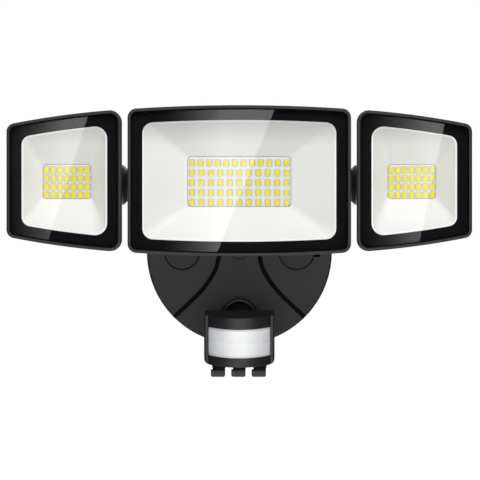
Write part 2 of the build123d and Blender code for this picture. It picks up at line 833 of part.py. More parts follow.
def make_hinge_bolt():
    low, high = lug_spans()[0][0], lug_spans()[1][1]
    shank = rod_z(hinge_bolt_radius, low - hinge_nut_height - thread_end, high, hinge_x, hinge_y)
    head = rod_z(hinge_head_radius, high, high + hinge_head_height, hinge_x, hinge_y)
    top = high + hinge_head_height
    socket = Pos(hinge_x, hinge_y, top) * extrude(RegularPolygon(socket_radius, 6), -socket_depth)
    nut = Pos(hinge_x, hinge_y, low) * extrude(
        RegularPolygon(hinge_nut_flats / 2, 6, major_radius=False), -hinge_nut_height
    )
    nut -= rod_z(hinge_bolt_radius + screw_clearance, low - hinge_nut_height, low, hinge_x, hinge_y)
    return [shank + head - socket, nut]


# ---- motion sensor ----
def make_socket_ring():
    ring = rod_y(socket_ring_radius, ball_y, base_face - socket_ring_proud, 0, socket_z)
    ring -= rod_y(socket_ring_bore, ball_y, base_face - socket_ring_proud, 0, socket_z)
    return ring - Pos(0, ball_y, socket_z) * Sphere(ball_radius + ball_clearance)


def make_sensor_arm():
    """Ball, stem and the flat tongue of the sensor's knuckle."""
    drop = socket_z - knuckle_z
    reach = ball_y - knuckle_y
    length = hypot(drop, reach)
    lean = degrees(atan2(drop, reach))
    stem = Pos(0, ball_y, socket_z) * Rot(lean, 0, 0) * rod_y(stem_radius, 0, -length)
    ball = Pos(0, ball_y, socket_z) * Sphere(ball_radius)
    half = tongue_width / 2
    arm = ball + stem + rod_x(knuckle_radius, -half, half, knuckle_y, knuckle_z)
    return arm - rod_x(sensor_bolt_radius + pin_clearance, -half, half, knuckle_y, knuckle_z)


def bow(radius, half_width, low, high):
    """Solid bounded in front by the sensor's round front of the given radius."""
    disc = Pos(0, bow_centre, (low + high) / 2) * Cylinder(radius, high - low)
    return disc & block((-half_width, half_width), (-2 * radius, -sensor_split), (low, high))


def sensor_plan(wall=0.0):
    """The sensor seen from above, moved inwards by a wall thickness."""
    side = sensor_half_width - wall
    back = -sensor_back - wall
    step = sensor_bow_half_width - wall
    cheek = bow_centre - sqrt((bow_radius - wall) ** 2 - step**2)
    nose = -sensor_front + wall
    arc = ThreePointArc((step, cheek), (0, nose), (-step, cheek))
    corners = [(-step, cheek), (-side, cheek), (-side, back), (side, back), (side, cheek), (step, cheek)]
    return make_face([arc] + [Line(a, b) for a, b in zip(corners, corners[1:])])


def sensor_body():
    """The closed outside of the sensor."""
    body = extrude(Pos(0, 0, sensor_bottom) * sensor_plan(), sensor_height)
    body = fillet(body.edges().filter_by(Axis.Z).sort_by(Axis.Y)[-2:], sensor_back_radius)
    fronts = body.edges().filter_by(Axis.Z).sort_by(Axis.Y)[:4].sort_by(Axis.X)
    body = fillet([fronts[0], fronts[-1]], sensor_cheek_radius)
    body = fillet(body.faces().sort_by(Axis.Z)[-1].outer_wire().edges(), sensor_top_radius)
    tall = RectangleRounded(2 * sensor_half_width, 2 * sensor_height, sensor_bottom_radius)
    return body & slab(Pos(0, sensor_top) * tall, 0, -2 * sensor_front)


def sensor_cavity():
    return extrude(Pos(0, 0, sensor_floor) * sensor_plan(sensor_wall), sensor_height - 2 * sensor_wall)


def sensor_half(front):
    """Hollow front or back part of the sensor, cut at its seam."""
    reach = 2 * sensor_half_width
    span = (-2 * sensor_front, -sensor_split) if front else (-sensor_split, 0)
    side = block((-reach, reach), span, (-reach, reach))
    return (sensor_body() - sensor_cavity()) & side


def knob_places():
    return [(knob_pitch * i, knob_y) for i in (-1, 0, 1)]


def make_rear_shell():
    shell = sensor_half(front=False)
    inner_back = -sensor_back - sensor_wall
    board_back_face = -sensor_board_front + sensor_board_thickness
    for x in (-sensor_post_x, sensor_post_x):
        shell += rod_y(sensor_post_radius, inner_back, board_back_face, x)
    for side in (-1, 1):
        span = (side * ear_inner, side * ear_outer)
        shell += rod_x(knuckle_radius, *span)
        shell += block(span, (-sensor_back, 0), (-knuckle_radius, knuckle_radius))
        shell -= rod_x(sensor_bolt_radius + screw_clearance, *span)
    return sensor_place * shell


def make_front_shell():
    shell = sensor_half(front=True)
    opening = sensor_bow_half_width + lens_gap
    shell -= block((-opening, opening), (-2 * sensor_front, -sensor_split), (window_bottom, window_top))
    for x, y in knob_places():
        shell -= rod_z(shaft_radius + through_clearance, sensor_bottom, sensor_floor, x, y)
    return sensor_place * shell


def make_lens():
    """Curved window: a sheet in the opening and a flange behind the hood and the chin."""
    outer = bow_radius - lens_recess
    inner = outer - lens_thickness
    behind_wall = bow_radius - sensor_wall - lens_gap
    flange_inner = behind_wall - lens_thickness
    low, high = window_bottom + lens_gap, window_top - lens_gap
    half = sensor_bow_half_width
    sheet = bow(outer, half, low, high)
    flange = bow(behind_wall, half - lens_flange / 2, low - lens_flange, high + lens_flange)
    hollow = bow(inner, half - lens_thickness, low + lens_thickness, high - lens_thickness)
    reach = high - low + 2 * lens_flange
    bore = Pos(0, bow_centre, (low + high) / 2) * Cylinder(flange_inner, reach)
    return sensor_place * (sheet + flange - bore - hollow)


def make_sensor_board():
    half_width, half_height = sensor_board_width / 2, sensor_board_height / 2
    middle = (window_bottom + window_top) / 2 + 1
    span = (-sensor_board_front, -sensor_board_front + sensor_board_thickness)
    board = block((-half_width, half_width), span, (middle - half_height, middle + half_height))
    return sensor_place * board


def make_detector():
    z = (window_bottom + window_top) / 2
    can = rod_y(detector_radius, -sensor_board_front, -sensor_board_front - detector_height, 0, z)
    return sensor_place * can


def make_trim_pots():
    pots = []
    for x, y in knob_places():
        x_span = (x - pot_width / 2, x + pot_width / 2)
        y_span = (y - pot_depth / 2, y + pot_depth / 2)
        body = block(x_span, y_span, (sensor_floor, sensor_floor + pot_height))
        shaft = rod_z(shaft_radius, knob_top - knob_bore_depth + swing_gap, sensor_floor, x, y)
        pots += [sensor_place * (body + shaft)]
    return pots


def make_sensor_bolt():
    end = ear_outer + sensor_bolt_head_height
    shank = rod_x(sensor_bolt_radius, -end - thread_end, ear_outer)
    head = rod_x(sensor_bolt_head_radius, ear_outer, end)
    across = (-sensor_bolt_head_radius, sensor_bolt_head_radius)
    slot = block((end - slot_width, end), across, (-slot_width / 2, slot_width / 2))
    nut = Rot(0, -90, 0) * Pos(0, 0, ear_outer) * extrude(
        RegularPolygon(sensor_bolt_head_radius, 6), sensor_bolt_head_height
    )
    nut -= rod_x(sensor_bolt_radius + screw_clearance, -end, -ear_outer)
    return [sensor_place * (shank + head - slot), sensor_place * nut]


def make_knob(x, y):
    """Setting knob: conical skirt and a flat finger bar that reaches further towards -X."""
    skirt_low = knob_top - knob_skirt_height
    low = skirt_low - knob_grip_height
    cone = Cone(knob_waist_radius, knob_skirt_radius, knob_skirt_height)
    skirt = Pos(x, y, (knob_top + skirt_low) / 2) * cone
    x_span = (x - knob_pointer_reach, x + knob_grip_reach)
    grip = block(x_span, (y - knob_grip_width / 2, y + knob_grip_width / 2), (low, skirt_low))
    low_ends = grip.edges().filter_by(Axis.Y).group_by(Axis.Z)[0]
    grip = fillet(low_ends, knob_bottom_radius)
    bore = rod_z(shaft_radius + pin_clearance, knob_top - knob_bore_depth, knob_top, x, y)
    return sensor_place * (skirt + grip - bore)


# ---- all pieces by node name ----
def solids_of(pieces):
    """A list of pieces as one compound of separate solids; a single piece as it is."""
    if not isinstance(pieces, list):
        return pieces
    return Compound(children=[solid for piece in pieces for solid in piece.solids()])


def base_nodes():
    cover = make_screw_cover()
    return {
        "base_housing": make_base_housing(),
        "wall_gasket": make_wall_gasket(),
        "back_plate": make_back_plate(),
        "back_plate_screws": make_back_plate_screws(),
        "supply_grommet": make_supply_grommet(),
        "mounting_strap": make_mounting_strap(),
        "strap_bolt": make_strap_bolt(),
        "bolt_cap": make_bolt_cap(),
        "right_screw_cover": cover,
        "left_screw_cover": mirrored(cover),
        "driver_board": make_driver_board(),
        "driver_parts": make_driver_parts(),
        "sensor_socket_ring": make_socket_ring(),
        "support_arm": make_support_arm(),
        "arm_screws": make_arm_screws(),
        "grub_screws": make_grub_screws(),
    }


def head_nodes(head):
    """What every head holds, by the last part of the node's name."""
    return {
        "glass": make_glass(head),
        "border": make_border(head),
        "seal": make_seal(head),
        "reflector": make_reflector(head),
        "led_board": make_led_board(head),
        "leds": make_leds(head),
        "board_screws": make_board_screws(head),
    }


def middle_nodes():
    nodes = {f"middle_{name}": shape for name, shape in head_nodes(middle_head).items()}
    nodes["middle_housing"] = make_middle_housing()
    nodes["middle_clamp_caps"] = make_clamp_caps()
    nodes["middle_clamp_screws"] = make_clamp_screws()
    return nodes


def side_nodes():
    """Right side head and knuckle, and their mirror images on the left."""
    right = head_nodes(side_head)
    right["housing"] = make_side_housing()
    right["hinge_bolt"] = make_hinge_bolt()
    right["knuckle"] = make_knuckle()
    right["washer"] = make_washer()
    nodes = {}
    for name, shape in right.items():
        shape = solids_of(shape)
        nodes[f"right_{name}"] = shape
        nodes[f"left_{name}"] = mirrored(shape)
    return nodes


def sensor_nodes():
    nodes = {
        "sensor_arm": make_sensor_arm(),
        "sensor_rear_shell": make_rear_shell(),
        "sensor_front_shell": make_front_shell(),
        "sensor_lens": make_lens(),
        "sensor_board": make_sensor_board(),
        "sensor_detector": make_detector(),
        "sensor_trim_pots": make_trim_pots(),
        "sensor_bolt": make_sensor_bolt(),
    }
    for name, (x, y) in zip(knob_names, knob_places()):
        nodes[name] = make_knob(x, y)
    return nodes


os.makedirs("parts", exist_ok=True)
all_nodes = {**base_nodes(), **middle_nodes(), **side_nodes(), **sensor_nodes()}
for node_name, node_shape in all_nodes.items():
    export_step(solids_of(node_shape), f"parts/{node_name}.step")
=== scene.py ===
"""Wall-mounted security light: three floodlight heads, a round base and a motion sensor on a ball arm.

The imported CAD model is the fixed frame. This script gives its pieces their finishes and replaces those whose
look needs more than the CAD solid holds: the LED chips, the front glasses and the sensor's lens.
"""

import json
import logging
import math
from dataclasses import dataclass, field, replace
from enum import Enum
from typing import Callable

import bmesh
import bpy
from mathutils import Matrix, Vector


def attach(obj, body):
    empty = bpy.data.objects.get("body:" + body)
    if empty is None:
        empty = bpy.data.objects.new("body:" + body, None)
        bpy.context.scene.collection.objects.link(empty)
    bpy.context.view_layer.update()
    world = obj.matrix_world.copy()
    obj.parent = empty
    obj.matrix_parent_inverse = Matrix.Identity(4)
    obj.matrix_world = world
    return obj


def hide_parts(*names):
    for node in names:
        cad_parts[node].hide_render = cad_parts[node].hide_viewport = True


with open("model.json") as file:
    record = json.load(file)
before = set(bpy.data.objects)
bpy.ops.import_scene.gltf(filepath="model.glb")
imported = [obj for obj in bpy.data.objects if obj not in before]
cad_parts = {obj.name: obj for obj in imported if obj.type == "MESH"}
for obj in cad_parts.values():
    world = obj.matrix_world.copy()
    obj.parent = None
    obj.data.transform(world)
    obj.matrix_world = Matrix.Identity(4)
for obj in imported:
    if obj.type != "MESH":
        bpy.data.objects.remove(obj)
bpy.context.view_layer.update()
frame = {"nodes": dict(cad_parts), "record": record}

MM = 0.001
WHITE = (1.0, 1.0, 1.0, 1.0)
# Parts of a pattern that are stretched over a range: all of it, or the busy middle of a noise.
WHOLE = (0.0, 1.0)
BUSY = (0.3, 0.7)
# Cosine from which a face counts as looking one way.
FACING = 0.95
log = logging.getLogger("security_light")
Point = tuple[float, float, float]
Span = tuple[float, float]
Colour = tuple[float, float, float, float]
Tree = bpy.types.NodeTree
Socket = bpy.types.NodeSocket
Piece = bpy.types.Object
Material = bpy.types.Material


# ---- named choices


class Slot(Enum):
    """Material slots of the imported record."""

    POWDER_COAT = "black_powder_coat"
    MOULDED = "black_moulded_plastic"
    KNOB = "black_knob_plastic"
    RUBBER = "black_rubber"
    FOAM = "foam_gasket"
    ZINC = "zinc_plated_steel"
    SCREW = "plated_screws"
    BLACKENED = "blackened_steel"
    NYLON = "nylon_washer"
    CIRCUIT = "green_circuit_board"
    COMPONENTS = "electronic_parts"
    GLASS = "clear_glass"
    PRINT = "black_print"
    REFLECTOR = "white_reflector"
    LED_BOARD = "white_led_board"
    PHOSPHOR = "yellow_phosphor"
    LENS = "milky_lens"
    CAN = "tinned_can"


class Grain(Enum):
    """Kinds of fine surface relief."""

    ORANGE_PEEL = "peel"
    ERODED = "eroded"
    CELLS = "cells"
    STREAKS = "streaks"


# ---- nodes and colours


def srgb(code: str) -> Colour:
    """Turn an sRGB hex colour into linear RGBA.

    Args:
        code: six hex digits.

    Returns:
        Linear red, green, blue and an alpha of 1.
    """
    values = [int(code[i:i + 2], 16) / 255 for i in (0, 2, 4)]
    linear = [v / 12.92 if v <= 0.04045 else ((v + 0.055) / 1.055) ** 2.4 for v in values]
    return (*linear, 1.0)


def in_metres(lengths: tuple[float, ...]) -> tuple[float, ...]:
    """Turn lengths in millimetres to metres."""
    return tuple(length * MM for length in lengths)


def per_mm(size: float) -> float:
    """Texture scale whose features are this many millimetres apart."""
    return 1.0 / (size * MM)


def add(tree: Tree, kind: str, inputs: dict | None = None, **settings: object) -> bpy.types.Node:
    """Add one shader node with its settings and links.

    Args:
        tree: node tree that gets the node.
        kind: type of the node, as Blender names it after ShaderNode.
        inputs: a value or an output socket for each input, by name or number.
        **settings: attributes of the node itself.

    Returns:
        The new node.
    """
    node = tree.nodes.new(f"ShaderNode{kind}")
    for name, value in settings.items():
        setattr(node, name, value)
    for name, value in (inputs or {}).items():
        socket = node.inputs[name]
        if isinstance(value, Socket):
            tree.links.new(value, socket)
        else:
            socket.default_value = value
    return node


def blank_material(name: str) -> tuple[Material, Tree, Socket]:
    """Make a node material that holds nothing yet but its coordinates.

    Args:
        name: name of the material.

    Returns:
        The material, its node tree and its Object coordinates.
    """
    material = bpy.data.materials.new(name)
    material.use_nodes = True
    tree = material.node_tree
    tree.nodes.clear()
    return material, tree, add(tree, "TexCoord").outputs["Object"]


def spread(tree: Tree, source: Socket, low: float | Colour, high: float | Colour | Socket,
           span: Span = BUSY) -> Socket:
    """Map a pattern to a range of numbers or colours.

    Args:
        tree: node tree.
        source: pattern's output.
        low: number or colour where the pattern is low.
        high: number, or colour or output of one, where it is high.
        span: part of the pattern that is stretched over the range.

    Returns:
        The mapped output socket.
    """
    colours = isinstance(low, tuple)
    first, last = WHOLE if colours else (low, high)
    mapped = add(tree, "MapRange", {
        "Value": source, "From Min": span[0], "From Max": span[1], "To Min": first, "To Max": last})
    if not colours:
        return mapped.outputs["Result"]
    # A colour mix has its colours at inputs 6 and 7 and its result at output 2.
    mixed = add(tree, "Mix", {0: mapped.outputs["Result"], 6: low, 7: high}, data_type="RGBA")
    return mixed.outputs[2]


# ---- finishes

# Painted shade in corners, gaps, grooves and dark bands, where hardly any light returns: colour and specular
# level.
SHADE_BLACK = "060607"
SHADE_GLOSS = 0.06
# Share of open sky over a point: full painted shade up to the first, none from the second.
SKY_SPAN = (0.5, 0.95)
# Rays that measure that sky, and those that soften an edge.
SKY_SAMPLES, EDGE_SAMPLES = 8, 4
# Detail of a noise: rounded waves, clouds, fine lines and a tooth.
WAVES, CLOUDS, LINES, TOOTH = 1.0, 3.0, 4.0, 5.0
# Marks of rolling and drawing are long in x.
STREAK = (0.06, 1.0, 1.0)


@dataclass(frozen=True)
class Finish:
    """An opaque finish: base colour with a slow drift, roughness drift, fine relief and softened edges.

    Attributes:
        name: real material and process.
        colour: main sRGB colour.
        drift: sRGB colour that the surface drifts towards.
        drift_mm: size of the patches of that drift.
        roughness: lowest and highest.
        grain: kind of relief.
        grain_mm: size of one grain of the relief.
        relief_mm: height of the relief.
        edge_mm: radius that catches light along the edges.
        metallic: 1 for bare metal.
        ior: index of refraction.
        glow: share of light added as a painted glow, for the light that a fluorescent pigment gives off.
        gloss: specular level, 0 where no air lies on the surface.
        corner_shade_mm: reach of the painted shade in corners and gaps, 0 for none.
        shade_band: axis of a band of painted shade, and the places in mm where it begins, is full, is still
            full and ends.
        corner_shade_colour: sRGB colour of the painted shade in corners, gaps and that band.
        shade: sRGB colour of the painted shade that the main colour fades to along its height.
        shade_z: heights in mm where that painted shade is full and where it has faded out.
        lip_painted_highlight: share of light that a painted highlight on the front lip adds, 0 for none.
        lip_y: depths in mm between which that lip begins.
    """

    name: str
    colour: str
    drift: str
    drift_mm: float = 25.0
    roughness: Span = (0.4, 0.5)
    grain: Grain = Grain.ORANGE_PEEL
    grain_mm: float = 0.6
    relief_mm: float = 0.01
    edge_mm: float = 0.0
    metallic: float = 0.0
    ior: float = 1.5
    glow: float = 0.0
    gloss: float = 0.5
    corner_shade_mm: float = 0.0
    shade_band: tuple[str, tuple[float, float, float, float]] | None = None
    corner_shade_colour: str = SHADE_BLACK
    shade: str | None = None
    shade_z: Span = (-50.0, 0.0)
    lip_painted_highlight: float = 0.0
    lip_y: Span = (0.0, 0.0)

    def relief(self, tree: Tree, place: Socket) -> Socket:
        """Height pattern of the surface.

        Args:
            tree: node tree.
            place: Object coordinates.

        Returns:
            Output socket of the pattern.
        """
        scale = per_mm(self.grain_mm)
        if self.grain is Grain.CELLS:
            cells = add(tree, "TexVoronoi", {"Vector": place, "Scale": scale})
            return cells.outputs["Distance"]
        if self.grain is Grain.STREAKS:
            drawn = add(tree, "Mapping", {"Vector": place, "Scale": STREAK})
            place = drawn.outputs["Vector"]
        detail = WAVES if self.grain is Grain.ORANGE_PEEL else TOOTH
        noise = add(tree, "TexNoise", {"Vector": place, "Scale": scale, "Detail": detail})
        return noise.outputs["Fac"]

    def tone(self, tree: Tree, place: Socket) -> Socket:
        """Base colour of the open surface: its main colour with a slow drift and a fade to painted shade along
        its height.

        Args:
            tree: node tree.
            place: Object coordinates.

        Returns:
            Output socket of the colour.
        """
        slow = add(tree, "TexNoise", {"Vector": place, "Scale": per_mm(self.drift_mm), "Detail": CLOUDS})
        even = spread(tree, slow.outputs["Fac"], srgb(self.colour), srgb(self.drift))
        if self.shade is None:
            return even
        height = add(tree, "SeparateXYZ", {"Vector": place}).outputs["Z"]
        return spread(tree, height, srgb(self.shade), even, in_metres(self.shade_z))

    def unshaded_share(self, tree: Tree, place: Socket) -> Socket | None:
        """Share of surface out of the painted shade: 1 on open faces, 0 in corners, gaps and the band of
        painted shade.

        Args:
            tree: node tree.
            place: Object coordinates.

        Returns:
            Output socket of the share, or None where no painted shade is drawn.
        """
        share = None
        if self.corner_shade_mm:
            reach = {"Distance": self.corner_shade_mm * MM}
            sky = add(tree, "AmbientOcclusion", reach, samples=SKY_SAMPLES)
            share = spread(tree, sky.outputs["AO"], 0.0, 1.0, SKY_SPAN)
        if self.shade_band:
            axis, places = self.shade_band
            before, first, last, after = in_metres(places)
            along = add(tree, "SeparateXYZ", {"Vector": place}).outputs[axis]
            near = spread(tree, along, 1.0, 0.0, (before, first))
            far = spread(tree, along, 0.0, 1.0, (last, after))
            band = add(tree, "Math", {0: near, 1: far}, operation="MAXIMUM").outputs["Value"]
            if share is None:
                return band
            both = add(tree, "Math", {0: share, 1: band}, operation="MULTIPLY")
            return both.outputs["Value"]
        return share

    def painted_lip_highlight(self, tree: Tree, place: Socket) -> Socket:
        """Painted highlight on the lip: none behind it, and less where the painted shade is.

        Args:
            tree: node tree.
            place: Object coordinates.

        Returns:
            Output socket of the emission strength.
        """
        axes = add(tree, "SeparateXYZ", {"Vector": place}).outputs
        depth = spread(tree, axes["Y"], 0.0, self.lip_painted_highlight, in_metres(self.lip_y))
        height = spread(tree, axes["Z"], 0.0, 1.0, in_metres(self.shade_z))
        return add(tree, "Math", {0: depth, 1: height}, operation="MULTIPLY").outputs["Value"]

    def make(self) -> Material:
        """Build the node material.

        Returns:
            The material.
        """
        material, tree, place = blank_material(self.name)
        height = self.relief(tree, place)
        settings = {
            "Base Color": self.tone(tree, place), "Roughness": spread(tree, height, *self.roughness),
            "Metallic": self.metallic, "IOR": self.ior, "Specular IOR Level": self.gloss}
        # Corners, gaps and the band turn dark and dull: painted shade.
        share = self.unshaded_share(tree, place)
        if share is not None:
            dark = srgb(self.corner_shade_colour)
            settings["Base Color"] = spread(tree, share, dark, settings["Base Color"], WHOLE)
            settings["Specular IOR Level"] = spread(tree, share, SHADE_GLOSS, self.gloss, WHOLE)
        bump = {"Distance": self.relief_mm * MM, "Height": height}
        if self.edge_mm:
            soft = add(tree, "Bevel", {"Radius": self.edge_mm * MM}, samples=EDGE_SAMPLES)
            bump["Normal"] = soft.outputs["Normal"]
        settings["Normal"] = add(tree, "Bump", bump).outputs["Normal"]
        # A painted highlight glows on the front lip.
        if self.lip_painted_highlight:
            settings |= {"Emission Color": WHITE, "Emission Strength": self.painted_lip_highlight(tree, place)}
        elif self.glow:
            settings |= {"Emission Color": settings["Base Color"], "Emission Strength": self.glow}
        shader = add(tree, "BsdfPrincipled", settings)
        # A linked level doesn't leave Blender, so the open surface's level also stands on the socket.
        shader.inputs["Specular IOR Level"].default_value = self.gloss
        add(tree, "OutputMaterial", {"Surface": shader.outputs["BSDF"]})
        return material


@dataclass(frozen=True)
class ClearGlass:
    """Toughened low-iron float glass with polished faces: clear, without a cast.

    Attributes:
        name: real material and process.
        ior: index of refraction of soda-lime glass.
        smudge_mm: size of the faint unevenness of its gloss.
        roughness: lowest and highest.
    """

    name: str = "toughened_float_glass"
    ior: float = 1.52
    smudge_mm: float = 40.0
    roughness: Span = (0.0, 0.012)

    def make(self) -> Material:
        """Build the node material: lamps reach what is behind the glass through its transparent side.

        Returns:
            The material.
        """
        material, tree, place = blank_material(self.name)
        smudge = add(tree, "TexNoise", {"Vector": place, "Scale": per_mm(self.smudge_mm)})
        body = add(tree, "BsdfPrincipled", {
            "Base Color": WHITE, "Transmission Weight": 1.0, "IOR": self.ior,
            "Roughness": spread(tree, smudge.outputs["Fac"], *self.roughness)})
        clear = add(tree, "BsdfTransparent")
        path = add(tree, "LightPath")
        through = add(tree, "Math", {
            0: path.outputs["Is Shadow Ray"], 1: path.outputs["Is Diffuse Ray"]}, operation="MAXIMUM")
        mixed = add(tree, "MixShader", {
            0: through.outputs["Value"], 1: body.outputs["BSDF"], 2: clear.outputs["BSDF"]})
        add(tree, "OutputMaterial", {"Surface": mixed.outputs["Shader"]})
        return material


@dataclass(frozen=True)
class MilkyFilm:
    """Thin milky polyethylene, a little translucent: greyer towards its sides, painted shade for the light
    falling off round its curve, and partly the black shell close behind it.

    Attributes:
        name: real material and process.
        open_colour: sRGB colour over the middle, with open space behind it.
        shaded_side_colour: sRGB colour at the sides, painted shade over the shell.
        clear_mm: distance from the middle where the grey begins.
        half_mm: half width of the window, where the grey is full.
        cloud_mm: size of the faint clouds in its gloss.
        line_mm: width of the fine flow lines of the moulding.
        line_depth_mm: height of those lines.
        soak_mm: how far light spreads inside it.
        roughness: lowest and highest.
    """

    name: str = "milky_polyethylene_lens_moulding"
    open_colour: str = "F2F3F3"
    shaded_side_colour: str = "C6C8CA"
    clear_mm: float = 3.66
    half_mm: float = 18.3
    cloud_mm: float = 6.0
    line_mm: float = 0.5
    line_depth_mm: float = 0.004
    soak_mm: float = 0.8
    roughness: Span = (0.3, 0.4)

    def make(self) -> Material:
        """Build the node material.

        Returns:
            The material.
        """
        material, tree, place = blank_material(self.name)
        across = add(tree, "SeparateXYZ", {"Vector": place}).outputs["X"]
        off = add(tree, "Math", {0: across}, operation="ABSOLUTE").outputs["Value"]
        cloud = add(tree, "TexNoise", {"Vector": place, "Scale": per_mm(self.cloud_mm)})
        lines = add(tree, "TexNoise", {"Vector": place, "Scale": per_mm(self.line_mm), "Detail": LINES})
        colour = spread(tree, off, srgb(self.open_colour), srgb(self.shaded_side_colour),
                        in_metres((self.clear_mm, self.half_mm)))
        bump = add(tree, "Bump", {"Distance": self.line_depth_mm * MM, "Height": lines.outputs["Fac"]})
        shader = add(tree, "BsdfPrincipled", {
            "Base Color": colour, "IOR": 1.51,
            "Roughness": spread(tree, cloud.outputs["Fac"], *self.roughness),
            "Subsurface Weight": 0.3, "Subsurface Radius": (1.0, 1.0, 1.0),
            "Subsurface Scale": self.soak_mm * MM, "Normal": bump.outputs["Normal"]})
        add(tree, "OutputMaterial", {"Surface": shader.outputs["BSDF"]})
        return material


@dataclass(frozen=True)
class Solderable:
    """Epoxy circuit board under solder mask, with copper tracks that show as faint raised lines.

    Attributes:
        name: real material and process.
        mask: sRGB colour of the solder mask.
        track: sRGB colour of the mask over copper.
        track_mm: spacing of the tracks.
        track_depth_mm: height of the tracks, of which the mask leaves half.
        speck_mm: size of the unevenness of its gloss.
        roughness: lowest and highest.
        part_shade_mm: how far round a soldered piece a grey painted shade reaches, 0 for none.
        part_shade_span: share of open sky where that painted shade is full and where it ends.
        part_shade_colour: sRGB colour of that painted shade.
    """

    name: str
    mask: str
    track: str
    track_mm: float = 3.0
    track_depth_mm: float = 0.03
    speck_mm: float = 0.8
    roughness: Span = (0.3, 0.42)
    part_shade_mm: float = 0.0
    part_shade_span: Span = (0.6, 0.97)
    part_shade_colour: str = "8C8C86"

    def make(self) -> Material:
        """Build the node material.

        Returns:
            The material.
        """
        material, tree, place = blank_material(self.name)
        tracks = add(tree, "TexBrick", {
            "Vector": place, "Scale": per_mm(self.track_mm), "Color1": WHITE,
            "Color2": (0.6, 0.6, 0.6, 1), "Mortar": (0, 0, 0, 1), "Mortar Size": 0.06, "Brick Width": 2.0,
            "Row Height": 1.0})
        lines = tracks.outputs["Color"]
        speck = add(tree, "TexNoise", {"Vector": place, "Scale": per_mm(self.speck_mm)})
        bump = add(tree, "Bump", {"Strength": 0.5, "Distance": self.track_depth_mm * MM, "Height": lines})
        colour = spread(tree, lines, srgb(self.track), srgb(self.mask), WHOLE)
        if self.part_shade_mm:
            reach = {"Distance": self.part_shade_mm * MM}
            sky = add(tree, "AmbientOcclusion", reach, samples=SKY_SAMPLES)
            colour = spread(tree, sky.outputs["AO"], srgb(self.part_shade_colour), colour, self.part_shade_span)
        shader = add(tree, "BsdfPrincipled", {
            "Base Color": colour, "Roughness": spread(tree, speck.outputs["Fac"], *self.roughness),
            "Normal": bump.outputs["Normal"]})
        add(tree, "OutputMaterial", {"Surface": shader.outputs["BSDF"]})
        return material


# Die-cast aluminium under satin black polyester powder: near-black with the soft waviness of baked powder.
# The real 0.3 mm texture is too fine to show, so it is drawn 0.9 mm coarse.
# Its corners and gaps are darkened, a painted shade.
POWDER_COAT = Finish(
    "satin_black_powder_coat_on_die_casting", "1A1B1D", "1E1F21", roughness=(0.42, 0.5), grain_mm=0.9,
    relief_mm=0.012, edge_mm=0.3, corner_shade_mm=3.0)
# The same coat on the heads, whose flat front the picture shows: that face has a dull, greyer sheen, and the
# narrow band behind its edge and its corners are darkened, a painted shade.
HEAD_COAT = replace(
    POWDER_COAT, name="satin_black_powder_coat_on_head", colour="222326", drift="262729",
    roughness=(0.44, 0.52), gloss=0.36, corner_shade_mm=2.0, shade_band=("Y", (-88.65, -88.25, -87.4, -87.0)))
# On the base it is a greyer copy, painted light, and darkens towards the lower edge, a painted shade; its
# grooves, the rounded edge behind its front face and its corners are darkened, a painted shade.
BASE_COAT = replace(
    POWDER_COAT, name="satin_black_powder_coat_on_base", colour="363739", drift="393A3C",
    roughness=(0.46, 0.54), gloss=0.36, shade="0F1012", shade_band=("Y", (-26.85, -26.45, -25.4, -25.0)))
# On the zinc castings of the side heads' hinges and of the support arm it is an even grey-black, a lighter
# copy painted light for these parts, which lie in shade between the heads.
KNUCKLE_COAT = replace(
    POWDER_COAT, name="satin_black_powder_coat_on_knuckle", colour="303134", drift="343538", corner_shade_mm=0.0)
# Injection moulded ABS from a spark-eroded mould: dull black with a fine even tooth.
MOULDED = Finish(
    # Its corners and gaps are darkened, a painted shade.
    "black_abs_spark_eroded", "17181A", "1B1C1E", roughness=(0.32, 0.42), gloss=0.4, grain=Grain.ERODED,
    grain_mm=0.7, relief_mm=0.010, edge_mm=0.4, corner_shade_mm=2.5)
# The same plastic on the covers over the base's screws, as a lighter copy matching the base's coat, painted
# light; its corners are darkened, a painted shade.
COVER = replace(
    MOULDED, name="black_abs_screw_cover_moulding", colour="2E2F32", drift="313235", roughness=(0.46, 0.54),
    gloss=0.36, edge_mm=0.2, corner_shade_mm=1.0)
# White polyphthalamide body of a surface-mounted LED, moulded glossy.
PACKAGE = Finish(
    "white_led_package_moulding", "F3F2EC", "E8E7E0", roughness=(0.3, 0.42), grain_mm=0.8, relief_mm=0.01,
    drift_mm=3.0)
